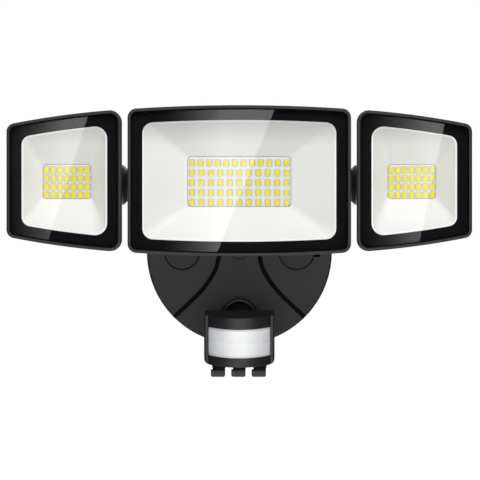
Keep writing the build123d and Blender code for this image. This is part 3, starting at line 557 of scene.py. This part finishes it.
# Reflowed tin on the copper terminals of an LED.
TERMINAL = Finish(
    "reflowed_tin_terminal", "D4D4D0", "BDBDB9", roughness=(0.22, 0.36), metallic=1.0, grain_mm=0.5,
    relief_mm=0.01, drift_mm=2.0)
FINISHES = {
    Slot.POWDER_COAT: POWDER_COAT,
    Slot.MOULDED: MOULDED,
    # Glass-filled nylon knobs: a shade greyer than the shell and quite dull; their upper part under the shell
    # and their corners are darkened, a painted shade.
    Slot.KNOB: Finish(
        "black_nylon_knob_moulding", "1D1E20", "232426", roughness=(0.45, 0.55), grain=Grain.ERODED,
        grain_mm=0.5, relief_mm=0.012, edge_mm=0.35, corner_shade_mm=1.5,
        shade_band=("Z", (-70.0, -69.3, -66.0, -65.0))),
    # Moulded silicone and EPDM: deep matt black with a soft skin.
    # Its corners are darkened, a painted shade.
    Slot.RUBBER: Finish(
        "moulded_epdm_rubber", "1E1F20", "232425", roughness=(0.5, 0.6), ior=1.52, grain=Grain.ERODED,
        grain_mm=0.8, relief_mm=0.02, corner_shade_mm=1.5),
    # Closed-cell EVA foam cut from sheet: charcoal with open cut cells about 0.7 mm across.
    Slot.FOAM: Finish(
        "closed_cell_eva_foam", "232325", "2E2E30", roughness=(0.85, 0.95), grain=Grain.CELLS, grain_mm=0.7,
        relief_mm=0.12, drift_mm=8.0),
    # Sheet steel with clear zinc plating: pale bluish grey metal, faintly mottled by crystals and rolling.
    Slot.ZINC: Finish(
        "clear_zinc_plated_sheet_steel", "C2C6CA", "B8BDC2", roughness=(0.34, 0.42), metallic=1.0,
        grain=Grain.STREAKS, grain_mm=0.6, relief_mm=0.002, drift_mm=12.0, edge_mm=0.25),
    # Cold-headed screws with bright zinc plating.
    Slot.SCREW: Finish(
        "bright_zinc_plated_screw", "C6C8CA", "B2B6BC", roughness=(0.2, 0.34), metallic=1.0,
        grain=Grain.STREAKS, grain_mm=0.4, relief_mm=0.005, drift_mm=3.0, edge_mm=0.2),
    # Black oxide steel: dark blue-grey metal with a little oil on it.
    Slot.BLACKENED: Finish(
        "black_oxide_steel", "2B2C30", "1F2023", roughness=(0.3, 0.42), metallic=1.0, grain=Grain.ERODED,
        grain_mm=0.5, relief_mm=0.008, drift_mm=3.0, edge_mm=0.25),
    # Nylon washer, dyed black: waxy.
    Slot.NYLON: Finish(
        "black_nylon_washer", "202022", "26262A", roughness=(0.34, 0.44), ior=1.53, grain_mm=1.0,
        relief_mm=0.008),
    # Epoxy glass board under green solder mask.
    Slot.CIRCUIT: Solderable("green_solder_mask_on_epoxy_board", "1E6A3C", "2C8048"),
    # Moulded epoxy packages, transformers and a sleeved capacitor.
    Slot.COMPONENTS: Finish(
        "moulded_epoxy_component", "2A2C30", "3A3D46", roughness=(0.35, 0.55), grain=Grain.ERODED,
        grain_mm=0.8, relief_mm=0.02, drift_mm=6.0, edge_mm=0.3),
    # Toughened low-iron float glass: clear, with a sharp reflection.
    Slot.GLASS: ClearGlass(),
    # Screen-printed ceramic ink fired to the back of the glass: dead even black.
    Slot.PRINT: Finish(
        "fired_black_ceramic_print", "151517", "171719", roughness=(0.5, 0.6), gloss=0.0, grain_mm=1.2,
        relief_mm=0.003, drift_mm=40.0),
    # Reflector moulded in white polycarbonate: smooth satin, slightly warm. Its upper wall is darkened, a
    # painted shade, a grey band of painted shade runs round the board, and a painted highlight glows on the
    # lip behind the glass.
    Slot.REFLECTOR: Finish(
        "white_polycarbonate_reflector", "F1F1EE", "ECECE9", ior=1.58, grain_mm=2.5, relief_mm=0.006,
        drift_mm=30.0, shade_band=("Y", (-69.8, -69.6, -69.0, -68.5)), corner_shade_colour="848482", shade="BABAB8",
        shade_z=(80.0, 62.0), lip_painted_highlight=0.14, lip_y=(-84.72, -84.79)),
    # Aluminium-core board under white solder mask, with a grey painted shade round each chip.
    Slot.LED_BOARD: Solderable(
        "white_solder_mask_on_aluminium_board", "E4E5E5", "E0E1E1", track_mm=5.78, part_shade_mm=0.6),
    # Yellow phosphor in clear silicone: saturated lemon with a soft gloss and a faint painted glow for its
    # fluorescence.
    Slot.PHOSPHOR: Finish(
        "cast_yag_phosphor_silicone", "E8E040", "E2D632", roughness=(0.35, 0.45), ior=1.45,
        grain=Grain.ERODED, grain_mm=0.8, relief_mm=0.02, drift_mm=4.0, glow=0.03),
    # Milky polyethylene lens film: soft white, greyer towards its sides, a painted shade.
    Slot.LENS: MilkyFilm(),
    # Tinned steel can of the infrared detector.
    Slot.CAN: Finish(
        "tinned_steel_can", "CFCDC6", "BFBDB8", roughness=(0.22, 0.34), metallic=1.0, grain=Grain.STREAKS,
        grain_mm=0.5, relief_mm=0.004, drift_mm=3.0, edge_mm=0.2),
}
OWN_FINISHES = {
    "base_housing": BASE_COAT,
    "left_housing": HEAD_COAT, "middle_housing": HEAD_COAT, "right_housing": HEAD_COAT,
    "left_screw_cover": COVER, "right_screw_cover": COVER,
    "left_knuckle": KNUCKLE_COAT, "right_knuckle": KNUCKLE_COAT, "support_arm": KNUCKLE_COAT,
}
Recipe = Finish | ClearGlass | MilkyFilm | Solderable | Slot


@dataclass
class PaintShop:
    """Makes each finish once and hands it to every piece that has it.

    Attributes:
        made: materials made so far, by name.
    """

    made: dict[str, Material] = field(default_factory=dict)

    def mix(self, finish: Recipe) -> Material:
        """Material of a finish, made when first asked for.

        Args:
            finish: a finish or one of the record's slots.

        Returns:
            The material.
        """
        recipe = FINISHES[finish] if isinstance(finish, Slot) else finish
        if recipe.name not in self.made:
            self.made[recipe.name] = recipe.make()
        return self.made[recipe.name]

    def dress(self, piece: Piece, *finishes: Recipe) -> None:
        """Give a piece these finishes, the first of them on every face.

        Args:
            piece: mesh object.
            *finishes: finishes or slots.
        """
        piece.data.materials.clear()
        for finish in finishes:
            piece.data.materials.append(self.mix(finish))
        for face in piece.data.polygons:
            face.material_index = 0

    def dress_carried(self, rows: list[dict]) -> None:
        """Dress every CAD node that is still shown, with its own finish or that of its slot.

        Args:
            rows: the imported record's rows of nodes and slots.
        """
        for row in rows:
            node = frame["nodes"][row["node"]]
            if not node.hide_render:
                self.dress(node, OWN_FINISHES.get(row["node"], Slot(row["material_slot"])))
                log.info("%s: %s", row["node"], row["material_slot"])


# ---- modelling by hand


def select_only(piece: Piece) -> None:
    """Select one object, deselect all others and make it the active one.

    Args:
        piece: the object.
    """
    bpy.ops.object.select_all(action="DESELECT")
    piece.select_set(True)
    bpy.context.view_layer.objects.active = piece


def start(name: str, primitive: Callable, **settings: object) -> Piece:
    """Add a primitive as the start of a piece.

    Args:
        name: name of the piece.
        primitive: Blender operator that adds it.
        **settings: settings of the operator.

    Returns:
        The new object, with its size and turn applied.
    """
    bpy.ops.object.select_all(action="DESELECT")
    primitive(**settings)
    piece = bpy.context.active_object
    piece.name = piece.data.name = name
    bpy.ops.object.transform_apply(location=True, rotation=True, scale=True)
    return piece


def pick_faces(piece: Piece, wanted: Callable[[bmesh.types.BMFace], bool]) -> None:
    """In edit mode, select only the faces that pass a test.

    Args:
        piece: object in edit mode.
        wanted: test of a face.
    """
    bpy.ops.mesh.select_mode(type="FACE")
    bpy.ops.mesh.select_all(action="DESELECT")
    for face in bmesh.from_edit_mesh(piece.data).faces:
        if wanted(face):
            face.select_set(True)
    bmesh.update_edit_mesh(piece.data)


def apply_modifier(piece: Piece, kind: str, **settings: object) -> None:
    """Add a modifier and apply it at once.

    Args:
        piece: mesh object.
        kind: Blender's modifier type.
        **settings: settings of the modifier.
    """
    select_only(piece)
    modifier = piece.modifiers.new(kind, kind)
    for name, value in settings.items():
        setattr(modifier, name, value)
    bpy.ops.object.modifier_apply(modifier=modifier.name)


def smooth(piece: Piece, angle: float) -> None:
    """Shade a piece smooth up to an angle in degrees."""
    select_only(piece)
    bpy.ops.object.shade_smooth_by_angle(angle=math.radians(angle))


def join_all(name: str, pieces: list[Piece]) -> Piece:
    """Join pieces into the first one.

    Args:
        name: name of the whole.
        pieces: objects to join.

    Returns:
        The joined object.
    """
    bpy.ops.object.select_all(action="DESELECT")
    for piece in pieces:
        piece.select_set(True)
    bpy.context.view_layer.objects.active = pieces[0]
    bpy.ops.object.join()
    pieces[0].name = pieces[0].data.name = name
    return pieces[0]


def hand_over(piece: Piece, body: str, slot: Slot, *nodes: str) -> None:
    """Put a new piece on its body, in place of CAD nodes.

    Args:
        piece: the new piece.
        body: CAD body it rides on.
        slot: the record's material slot; not used.
        *nodes: CAD nodes it stands for.
    """
    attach(piece, body)
    if nodes:
        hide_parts(*nodes)
    log.info("%s on %s: %d faces", piece.name, body, len(piece.data.polygons))


# ---- floodlight heads


@dataclass
class FloodHead:
    """One floodlight head: the pieces behind its rim that need more detail than the CAD solids.

    Lengths are in mm.

    Attributes:
        side: middle, left or right, as the node names start.
        middle_x: middle of the head across.
        row_span: from the first to the last chip of a row.
        row_pitch: between two rows.
        row_counts: chips in each row, top to bottom.
        head_z: height of the head's middle.
        board_face: depth of the LED board's front.
        chip: width, height and thickness of a chip.
        chip_rim: plain rim round its phosphor window.
        window_slope: width of the slope inside that rim.
        window_depth: how deep the window lies.
        tab: width, thickness and height of a terminal, which sticks out by half of that height.
        tab_taper: share of the terminal's width and thickness at its far end.
        chip_drop: how far the rows hang below the middle of the head.
        glass_edge: bevel of the glass.
        glass_gap: hair of air between the glass and the print behind it.
    """

    side: str
    middle_x: float
    row_span: float
    row_pitch: float
    row_counts: tuple[int, ...]
    head_z: float = 41.3
    board_face: float = -69.5
    chip: Point = (2.8, 3.5, 0.7)
    chip_rim: float = 0.05
    window_slope: float = 0.03
    window_depth: float = 0.04
    tab: Point = (2.016, 0.12, 0.24)
    tab_taper: Span = (0.94, 0.5)
    chip_drop: float = 0.5
    glass_edge: float = 0.45
    glass_gap: float = 0.03

    def mesh_chip(self, shop: PaintShop) -> Piece:
        """Model and dress one chip at the origin: its package, phosphor window and two terminals.

        Args:
            shop: maker of the finishes.

        Returns:
            The chip, its back at y = 0.
        """
        width, height, thick = in_metres(self.chip)
        tab_width, tab_thick, tab_height = in_metres(self.tab)
        body = start(f"{self.side}_chip", bpy.ops.mesh.primitive_cube_add, size=1,
                     location=(0, -thick / 2, 0), scale=(width, thick, height))
        bpy.ops.object.mode_set(mode="EDIT")
        pick_faces(body, lambda face: face.normal.y < -FACING)
        bpy.ops.mesh.inset(thickness=self.chip_rim * MM)
        bpy.ops.mesh.inset(thickness=self.window_slope * MM, depth=-self.window_depth * MM)
        bpy.ops.object.mode_set(mode="OBJECT")
        shop.dress(body, PACKAGE, Slot.PHOSPHOR, TERMINAL)
        for face in body.data.polygons:
            face.material_index = int(face.center.y < 2 * self.window_depth * MM - thick)
        ends = []
        for way in (-1, 1):
            tab = start("terminal", bpy.ops.mesh.primitive_cube_add, size=1,
                        location=(0, -tab_thick / 2, way * (height / 2 + tab_height / 4)),
                        scale=(tab_width, tab_thick, tab_height))
            bpy.ops.object.mode_set(mode="EDIT")
            pick_faces(tab, lambda face: face.normal.z * way > FACING)
            bpy.ops.transform.resize(value=(*self.tab_taper, 1.0))
            bpy.ops.object.mode_set(mode="OBJECT")
            shop.dress(tab, PACKAGE, Slot.PHOSPHOR, TERMINAL)
            for face in tab.data.polygons:
                face.material_index = 2
            ends.append(tab)
        return join_all(f"{self.side}_chip", [body, *ends])

    def mesh_chips(self, shop: PaintShop) -> Piece:
        """Set out the chips in their rows.

        Args:
            shop: maker of the finishes.

        Returns:
            All chips of this head as one piece.
        """
        pattern = self.mesh_chip(shop)
        chips = []
        for row, count in enumerate(self.row_counts):
            z = self.head_z - self.chip_drop + self.row_pitch * ((len(self.row_counts) - 1) / 2 - row)
            for i in range(count):
                x = self.middle_x + self.row_span * (i / (count - 1) - 0.5)
                chip = pattern.copy()
                chip.data = pattern.data.copy()
                chip.data.transform(Matrix.Translation(Vector((x, self.board_face, z)) * MM))
                bpy.context.scene.collection.objects.link(chip)
                chips.append(chip)
        bpy.data.objects.remove(pattern)
        return join_all(f"{self.side}_led_chips", chips)

    def mesh_glass(self) -> Piece:
        """Front glass with a ground, bevelled edge all round and a hair of air behind it.

        Returns:
            The glass, from the CAD node's mesh with doubles merged and flat areas made one face.
        """
        name = f"{self.side}_front_glass"
        glass = bpy.data.objects.new(name, frame["nodes"][f"{self.side}_glass"].data.copy())
        glass.data.name = name
        bpy.context.scene.collection.objects.link(glass)
        select_only(glass)
        bpy.ops.mesh.customdata_custom_splitnormals_clear()
        bpy.ops.object.mode_set(mode="EDIT")
        bpy.ops.mesh.select_all(action="SELECT")
        bpy.ops.mesh.remove_doubles(threshold=0.001 * MM)
        bpy.ops.mesh.dissolve_limited(angle_limit=math.radians(0.5))
        bpy.ops.object.mode_set(mode="OBJECT")
        # Only the rear face steps forward.
        rear = max(vertex.co.y for vertex in glass.data.vertices)
        for vertex in glass.data.vertices:
            if rear - vertex.co.y < self.glass_edge * MM:
                vertex.co.y -= self.glass_gap * MM
        apply_modifier(glass, "BEVEL", width=self.glass_edge * MM, segments=2, limit_method="ANGLE",
                       angle_limit=math.radians(50), use_clamp_overlap=False)
        smooth(glass, angle=15)
        return glass

    def build(self, shop: PaintShop) -> None:
        """Model the pieces, dress them and put them on the head.

        Args:
            shop: maker of the finishes.
        """
        body = f"{self.side}_head"
        hand_over(self.mesh_chips(shop), body, Slot.PHOSPHOR, f"{self.side}_leds")
        glass = self.mesh_glass()
        shop.dress(glass, Slot.GLASS, Slot.PRINT)
        for face in glass.data.polygons:
            face.material_index = int(abs(face.normal.y) <= FACING)
        hand_over(glass, body, Slot.GLASS, f"{self.side}_glass")


# ---- motion sensor


@dataclass
class SensorLens:
    """Curved milky window of the motion sensor, moulded with a grid of shallow lenslets.

    Lengths are in mm, in the sensor's own place: its hinge at the origin, z along its upright edges.

    Attributes:
        radius: of the lens' outer face.
        centre_y: of that curve.
        low: lower edge of the window.
        high: upper edge of the window.
        half_width: of the window.
        flange: how far the lens reaches behind hood and chin.
        flange_radius: outer radius of that hidden part.
        border: plain strip along the upper and lower edge.
        columns: lenslets side by side.
        groove: width of the valley round each lenslet.
        relief: height of a lenslet above its valley.
        shoulder: width and height of the second, flatter step of a lenslet.
        wall: thickness.
        hinge: place of the sensor's hinge.
        lean: turn of the sensor about its hinge, in degrees.
    """

    radius: float = 23.7
    centre_y: float = -4.5
    low: float = -11.0
    high: float = 6.1
    half_width: float = 18.25
    flange: float = 1.8
    flange_radius: float = 22.6
    border: float = 0.9
    columns: int = 16
    groove: float = 0.16
    relief: float = 0.12
    shoulder: Span = (0.48, 0.072)
    wall: float = 0.95
    hinge: Point = (0.0, -49.0, -46.0)
    lean: float = 10.0

    def profile(self) -> list[Vector]:
        """Upright line of the outer face, bottom to top.

        Returns:
            Points in metres, in the plane that looks straight ahead.
        """
        middle = (self.low + self.high) / 2
        steps = [
            (self.flange_radius, self.low - self.flange), (self.flange_radius, self.low),
            (self.radius, self.low), (self.radius, self.low + self.border), (self.radius, middle),
            (self.radius, self.high - self.border), (self.radius, self.high),
            (self.flange_radius, self.high), (self.flange_radius, self.high + self.flange),
        ]
        return [Vector((0, self.centre_y - reach, z)) * MM for reach, z in steps]

    def mesh(self) -> Piece:
        """Spin the profile, raise the lenslets and give the sheet its wall.

        Returns:
            The lens.
        """
        points = self.profile()
        lens = start("sensor_fresnel_lens", bpy.ops.mesh.primitive_plane_add, size=MM)
        bpy.ops.object.mode_set(mode="EDIT")
        bpy.ops.mesh.select_all(action="SELECT")
        bpy.ops.mesh.merge(type="CENTER")
        bpy.ops.mesh.select_all(action="SELECT")
        bpy.ops.transform.translate(value=points[0])
        for here, there in zip(points, points[1:]):
            bpy.ops.mesh.extrude_vertices_move(TRANSFORM_OT_translate={"value": there - here})
        half_angle = math.asin(self.half_width / self.radius)
        centre = Vector((0, self.centre_y * MM, 0))
        bpy.ops.mesh.select_all(action="SELECT")
        turn = Matrix.Rotation(-half_angle, 4, "Z")
        mesh = bmesh.from_edit_mesh(lens.data)
        for vertex in mesh.verts:
            vertex.co = turn @ (vertex.co - centre) + centre
        bmesh.update_edit_mesh(lens.data)
        bpy.ops.mesh.spin(steps=self.columns, angle=-2 * half_angle, center=centre, axis=(0, 0, 1))
        bpy.ops.mesh.select_all(action="SELECT")
        bpy.ops.mesh.normals_make_consistent(inside=False)
        # An open sheet has no inside, so all of its normals may have turned inwards.
        mesh = bmesh.from_edit_mesh(lens.data)
        facing = sum(face.normal.dot(face.calc_center_median() - centre) for face in mesh.faces)
        if facing < 0:
            bpy.ops.mesh.flip_normals()
        inner_low, inner_high = (self.low + self.border) * MM, (self.high - self.border) * MM
        pick_faces(lens, lambda face: inner_low < face.calc_center_median().z < inner_high)
        bpy.ops.mesh.inset(thickness=self.groove * MM, depth=self.relief * MM, use_individual=True)
        width, height = in_metres(self.shoulder)
        bpy.ops.mesh.inset(thickness=width, depth=height, use_individual=True)
        bpy.ops.object.mode_set(mode="OBJECT")
        apply_modifier(lens, "SOLIDIFY", thickness=self.wall * MM, offset=-1.0, use_even_offset=True)
        lean = Matrix.Rotation(math.radians(self.lean), 4, "X")
        lens.data.transform(Matrix.Translation(Vector(self.hinge) * MM) @ lean)
        smooth(lens, angle=40)
        return lens

    def build(self, shop: PaintShop) -> None:
        """Model the lens, dress it and put it on the sensor.

        Args:
            shop: maker of the finishes.
        """
        lens = self.mesh()
        shop.dress(lens, Slot.LENS)
        hand_over(lens, "sensor", Slot.LENS, "sensor_lens")


# ---- studio


@dataclass(frozen=True)
class Lamp:
    """Soft square lamp.

    Attributes:
        name: name of the lamp.
        place: where it hangs, in metres.
        aim: point it looks at.
        side: side of its square.
        power: in watts.
    """

    name: str
    place: Point
    aim: Point
    side: float
    power: float

    def hang(self) -> None:
        """Put the lamp in the scene."""
        data = bpy.data.lights.new(self.name, "AREA")
        data.shape = "SQUARE"
        data.size = self.side
        data.energy = self.power
        lamp = bpy.data.objects.new(self.name, data)
        bpy.context.scene.collection.objects.link(lamp)
        lamp.location = self.place
        lamp.rotation_euler = (Vector(self.aim) - Vector(self.place)).to_track_quat("-Z", "Y").to_euler()
        lamp.visible_camera = False


@dataclass(frozen=True)
class Card:
    """Bright card whose light fades out to the left and ends at a slanting edge on the right.

    Its places are those of its mirror image, in pixels from the picture's upper left corner.

    Attributes:
        name: name of the card.
        fade: columns where the light begins and where it is full.
        upper: upper end of the slanting edge.
        lower: its lower end.
        strength: brightness where it is full.
    """

    name: str
    fade: Span
    upper: Span
    lower: Span
    strength: float


# Middle of the object, where most lamps look.
CENTRE = (0.0, -0.05, 0.0)
LAMPS = (
    Lamp("key_above", (0.12, -1.15, 0.95), (0.0, -0.07, 0.03), 0.7, 12.6),
    Lamp("front_low", (0.0, -1.40, -0.30), CENTRE, 0.6, 2.4),
    Lamp("fill_right", (0.95, -0.75, 0.1), CENTRE, 0.5, 1.0),
    Lamp("fill_left", (-0.95, -0.75, 0.1), CENTRE, 0.5, 0.7),
    Lamp("back_above", (0.2, 1.1, 0.9), CENTRE, 0.9, 14.0),
)
CARDS = (
    Card("middle_card", (158.0, 222.0), (279.8, 96.0), (213.0, 263.0), 1.45),
    Card("left_card", (4.0, 64.0), (93.1, 100.0), (43.2, 256.0), 1.3),
    Card("right_card", (362.0, 429.0), (448.4, 107.0), (416.3, 257.0), 1.45),
)
# Two opposite corners, in metres, of the black cards behind the camera, beside the object and above it.
FLAGS = {
    "black_flag": ((-0.29, -1.17, -0.04), (0.29, -1.17, 0.18)),
    "left_flag": ((-0.42, -1.0, -0.38), (-0.42, 0.9, 0.5)),
    "right_flag": ((0.42, -1.0, -0.38), (0.42, 0.9, 0.5)),
    "top_flag": ((-0.42, -1.0, 0.52), (0.42, 0.9, 0.52)),
}


@dataclass
class Studio:
    """Plain pale studio: floor, soft lamps, the cards that the glass mirrors, and the camera.

    Attributes:
        eye: the camera's place.
        focal_px: focal length in pixels of the picture.
        frame_px: side of the picture.
        film_mm: width of the camera's sensor.
        glass_y: depth of the front glasses.
        card_y: depth of the bright cards, just behind the camera.
        flag_far: brightness of the black cards behind the object, so that its back mirrors some light.
        flag_fade: depths between which they grow that bright.
        fill: sRGB colour of the surroundings where they light the object.
        floor_z: height of the floor.
        floor_radius: radius of the floor.
        floor_cloud_mm: size of the faint clouds in its paint.
        floor_lift: light that the floor gives off where it is seen, so that it looks white.
    """

    eye: Point = (0.0004, -1.088, 0.00723)
    focal_px: float = 1740.0
    frame_px: float = 480.0
    film_mm: float = 36.0
    glass_y: float = -0.088
    card_y: float = -1.140
    flag_far: float = 0.35
    flag_fade: Span = (0.1, 0.4)
    fill: str = "8E8E90"
    floor_z: float = -0.42
    floor_radius: float = 7.0
    floor_cloud_mm: float = 333.3
    floor_lift: float = 0.74

    def camera(self) -> None:
        """Place the camera straight in front of the light."""
        data = bpy.data.cameras.new("camera")
        data.sensor_width = self.film_mm
        data.lens = self.focal_px / self.frame_px * self.film_mm
        camera = bpy.data.objects.new("camera", data)
        bpy.context.scene.collection.objects.link(camera)
        camera.location = self.eye
        camera.rotation_euler = (math.radians(90), 0, 0)
        bpy.context.scene.camera = camera

    def mirrored(self, u: float, v: float) -> Vector:
        """Point at the cards' depth that the glass shows at a place of the picture.

        Args:
            u: pixels from the picture's left edge.
            v: pixels from its upper edge.

        Returns:
            The point.
        """
        stand_off = self.glass_y - self.eye[1]
        scale = (stand_off + self.glass_y - self.card_y) / self.focal_px
        half = self.frame_px / 2
        return Vector((self.eye[0] + (u - half) * scale, self.card_y, self.eye[2] + (half - v) * scale))

    def sheet(self, name: str, corners: list[Vector], material: Material) -> None:
        """Flat card that shows only in gloss and glass, as a studio card out of the picture does.

        Args:
            name: name of the card.
            corners: four corners in order.
            material: its material.
        """
        card = start(name, bpy.ops.mesh.primitive_plane_add, size=1)
        for vertex, corner in zip(card.data.vertices, (corners[0], corners[1], corners[3], corners[2])):
            vertex.co = corner
        card.data.materials.append(material)
        card.visible_camera = card.visible_diffuse = card.visible_shadow = False
        card.visible_volume_scatter = False

    def bright_card(self, card: Card) -> None:
        """Hang one bright card, whose light grows with the square of its share of the fade.

        Args:
            card: the card.
        """
        begin, full = card.fade
        (_, top), (_, low) = card.upper, card.lower
        places = ((begin, low), card.lower, card.upper, (begin, top))
        material, tree, place = blank_material(f"{card.name}_paper")
        across = add(tree, "SeparateXYZ", {"Vector": place}).outputs["X"]
        ramp = spread(tree, across, 0.0, 1.0, (self.mirrored(begin, 0).x, self.mirrored(full, 0).x))
        soft = add(tree, "Math", {0: ramp, 1: 2.0}, operation="POWER").outputs["Value"]
        light = add(tree, "Math", {0: soft, 1: card.strength}, operation="MULTIPLY")
        glow = add(tree, "Emission", {"Strength": light.outputs["Value"]})
        add(tree, "OutputMaterial", {"Surface": glow.outputs["Emission"]})
        self.sheet(card.name, [self.mirrored(u, v) for u, v in places], material)

    def black_flags(self) -> None:
        """Hang the black cards, so that glass and gloss stay dark beside the bright ones."""
        material, tree, place = blank_material("black_flag_felt")
        depth = add(tree, "SeparateXYZ", {"Vector": place}).outputs["Y"]
        shader = add(tree, "Emission", {"Strength": spread(tree, depth, 0.0, self.flag_far, self.flag_fade)})
        add(tree, "OutputMaterial", {"Surface": shader.outputs["Emission"]})
        for name, (low, high) in FLAGS.items():
            along = next(axis for axis in range(3) if low[axis] != high[axis])
            corners = [Vector(low), Vector(low), Vector(high), Vector(high)]
            corners[1][along] = high[along]
            corners[3][along] = low[along]
            self.sheet(name, corners, material)

    def pale(self, tree: Tree) -> Socket:
        """Share that is 1 for sight, gloss and glass, and 0 for light that falls on the object.

        Args:
            tree: node tree.

        Returns:
            Output socket.
        """
        path = add(tree, "LightPath")
        seen = add(tree, "Math", {
            0: path.outputs["Is Camera Ray"], 1: path.outputs["Is Glossy Ray"]}, operation="MAXIMUM")
        both = add(tree, "Math", {
            0: seen.outputs["Value"], 1: path.outputs["Is Transmission Ray"]}, operation="MAXIMUM")
        return both.outputs["Value"]

    def world(self) -> None:
        """White where it is seen, pale grey where it lights the object."""
        world = bpy.data.worlds.new("studio")
        bpy.context.scene.world = world
        world.use_nodes = True
        tree = world.node_tree
        tree.nodes.clear()
        colour = spread(tree, self.pale(tree), srgb(self.fill), WHITE, WHOLE)
        shader = add(tree, "Background", {"Color": colour, "Strength": 1.0})
        add(tree, "OutputWorld", {"Surface": shader.outputs["Background"]})

    def floor(self) -> None:
        """Round floor of matt pale paint that keeps the object's shadow."""
        floor = start("floor", bpy.ops.mesh.primitive_circle_add, vertices=96, radius=self.floor_radius,
                      fill_type="NGON", location=(0, 0, self.floor_z))
        material, tree, place = blank_material("pale_painted_floor")
        noise = add(tree, "TexNoise", {"Vector": place, "Scale": per_mm(self.floor_cloud_mm)})
        shader = add(tree, "BsdfPrincipled", {
            "Base Color": spread(tree, noise.outputs["Fac"], srgb("F8F8F7"), srgb("F6F6F6")),
            "Roughness": 0.9, "Specular IOR Level": 0.1, "Emission Color": WHITE,
            "Emission Strength": spread(tree, self.pale(tree), 0.0, self.floor_lift, WHOLE)})
        add(tree, "OutputMaterial", {"Surface": shader.outputs["BSDF"]})
        floor.data.materials.append(material)

    def build(self) -> None:
        """Set up the whole studio."""
        self.camera()
        self.world()
        self.floor()
        self.black_flags()
        for card in CARDS:
            self.bright_card(card)
        for lamp in LAMPS:
            lamp.hang()
        bpy.context.scene.view_settings.view_transform = "Standard"


# ---- build


def main() -> None:
    """Build the light's pieces in order and report them."""
    logging.basicConfig(level=logging.INFO, format="%(name)s: %(message)s")
    shop = PaintShop()
    Studio().build()
    middle = FloodHead("middle", middle_x=0.0, row_span=55.37, row_pitch=5.78,
                       row_counts=(12, 11, 11, 11, 11))
    left = FloodHead("left", middle_x=-100.765, row_span=23.94, row_pitch=4.93, row_counts=(7, 7, 7, 7))
    right = replace(left, side="right", middle_x=-left.middle_x)
    for head in (middle, left, right):
        head.build(shop)
    SensorLens().build(shop)
    shop.dress_carried(frame["record"]["subparts"])


if __name__ == "__main__":
    main()
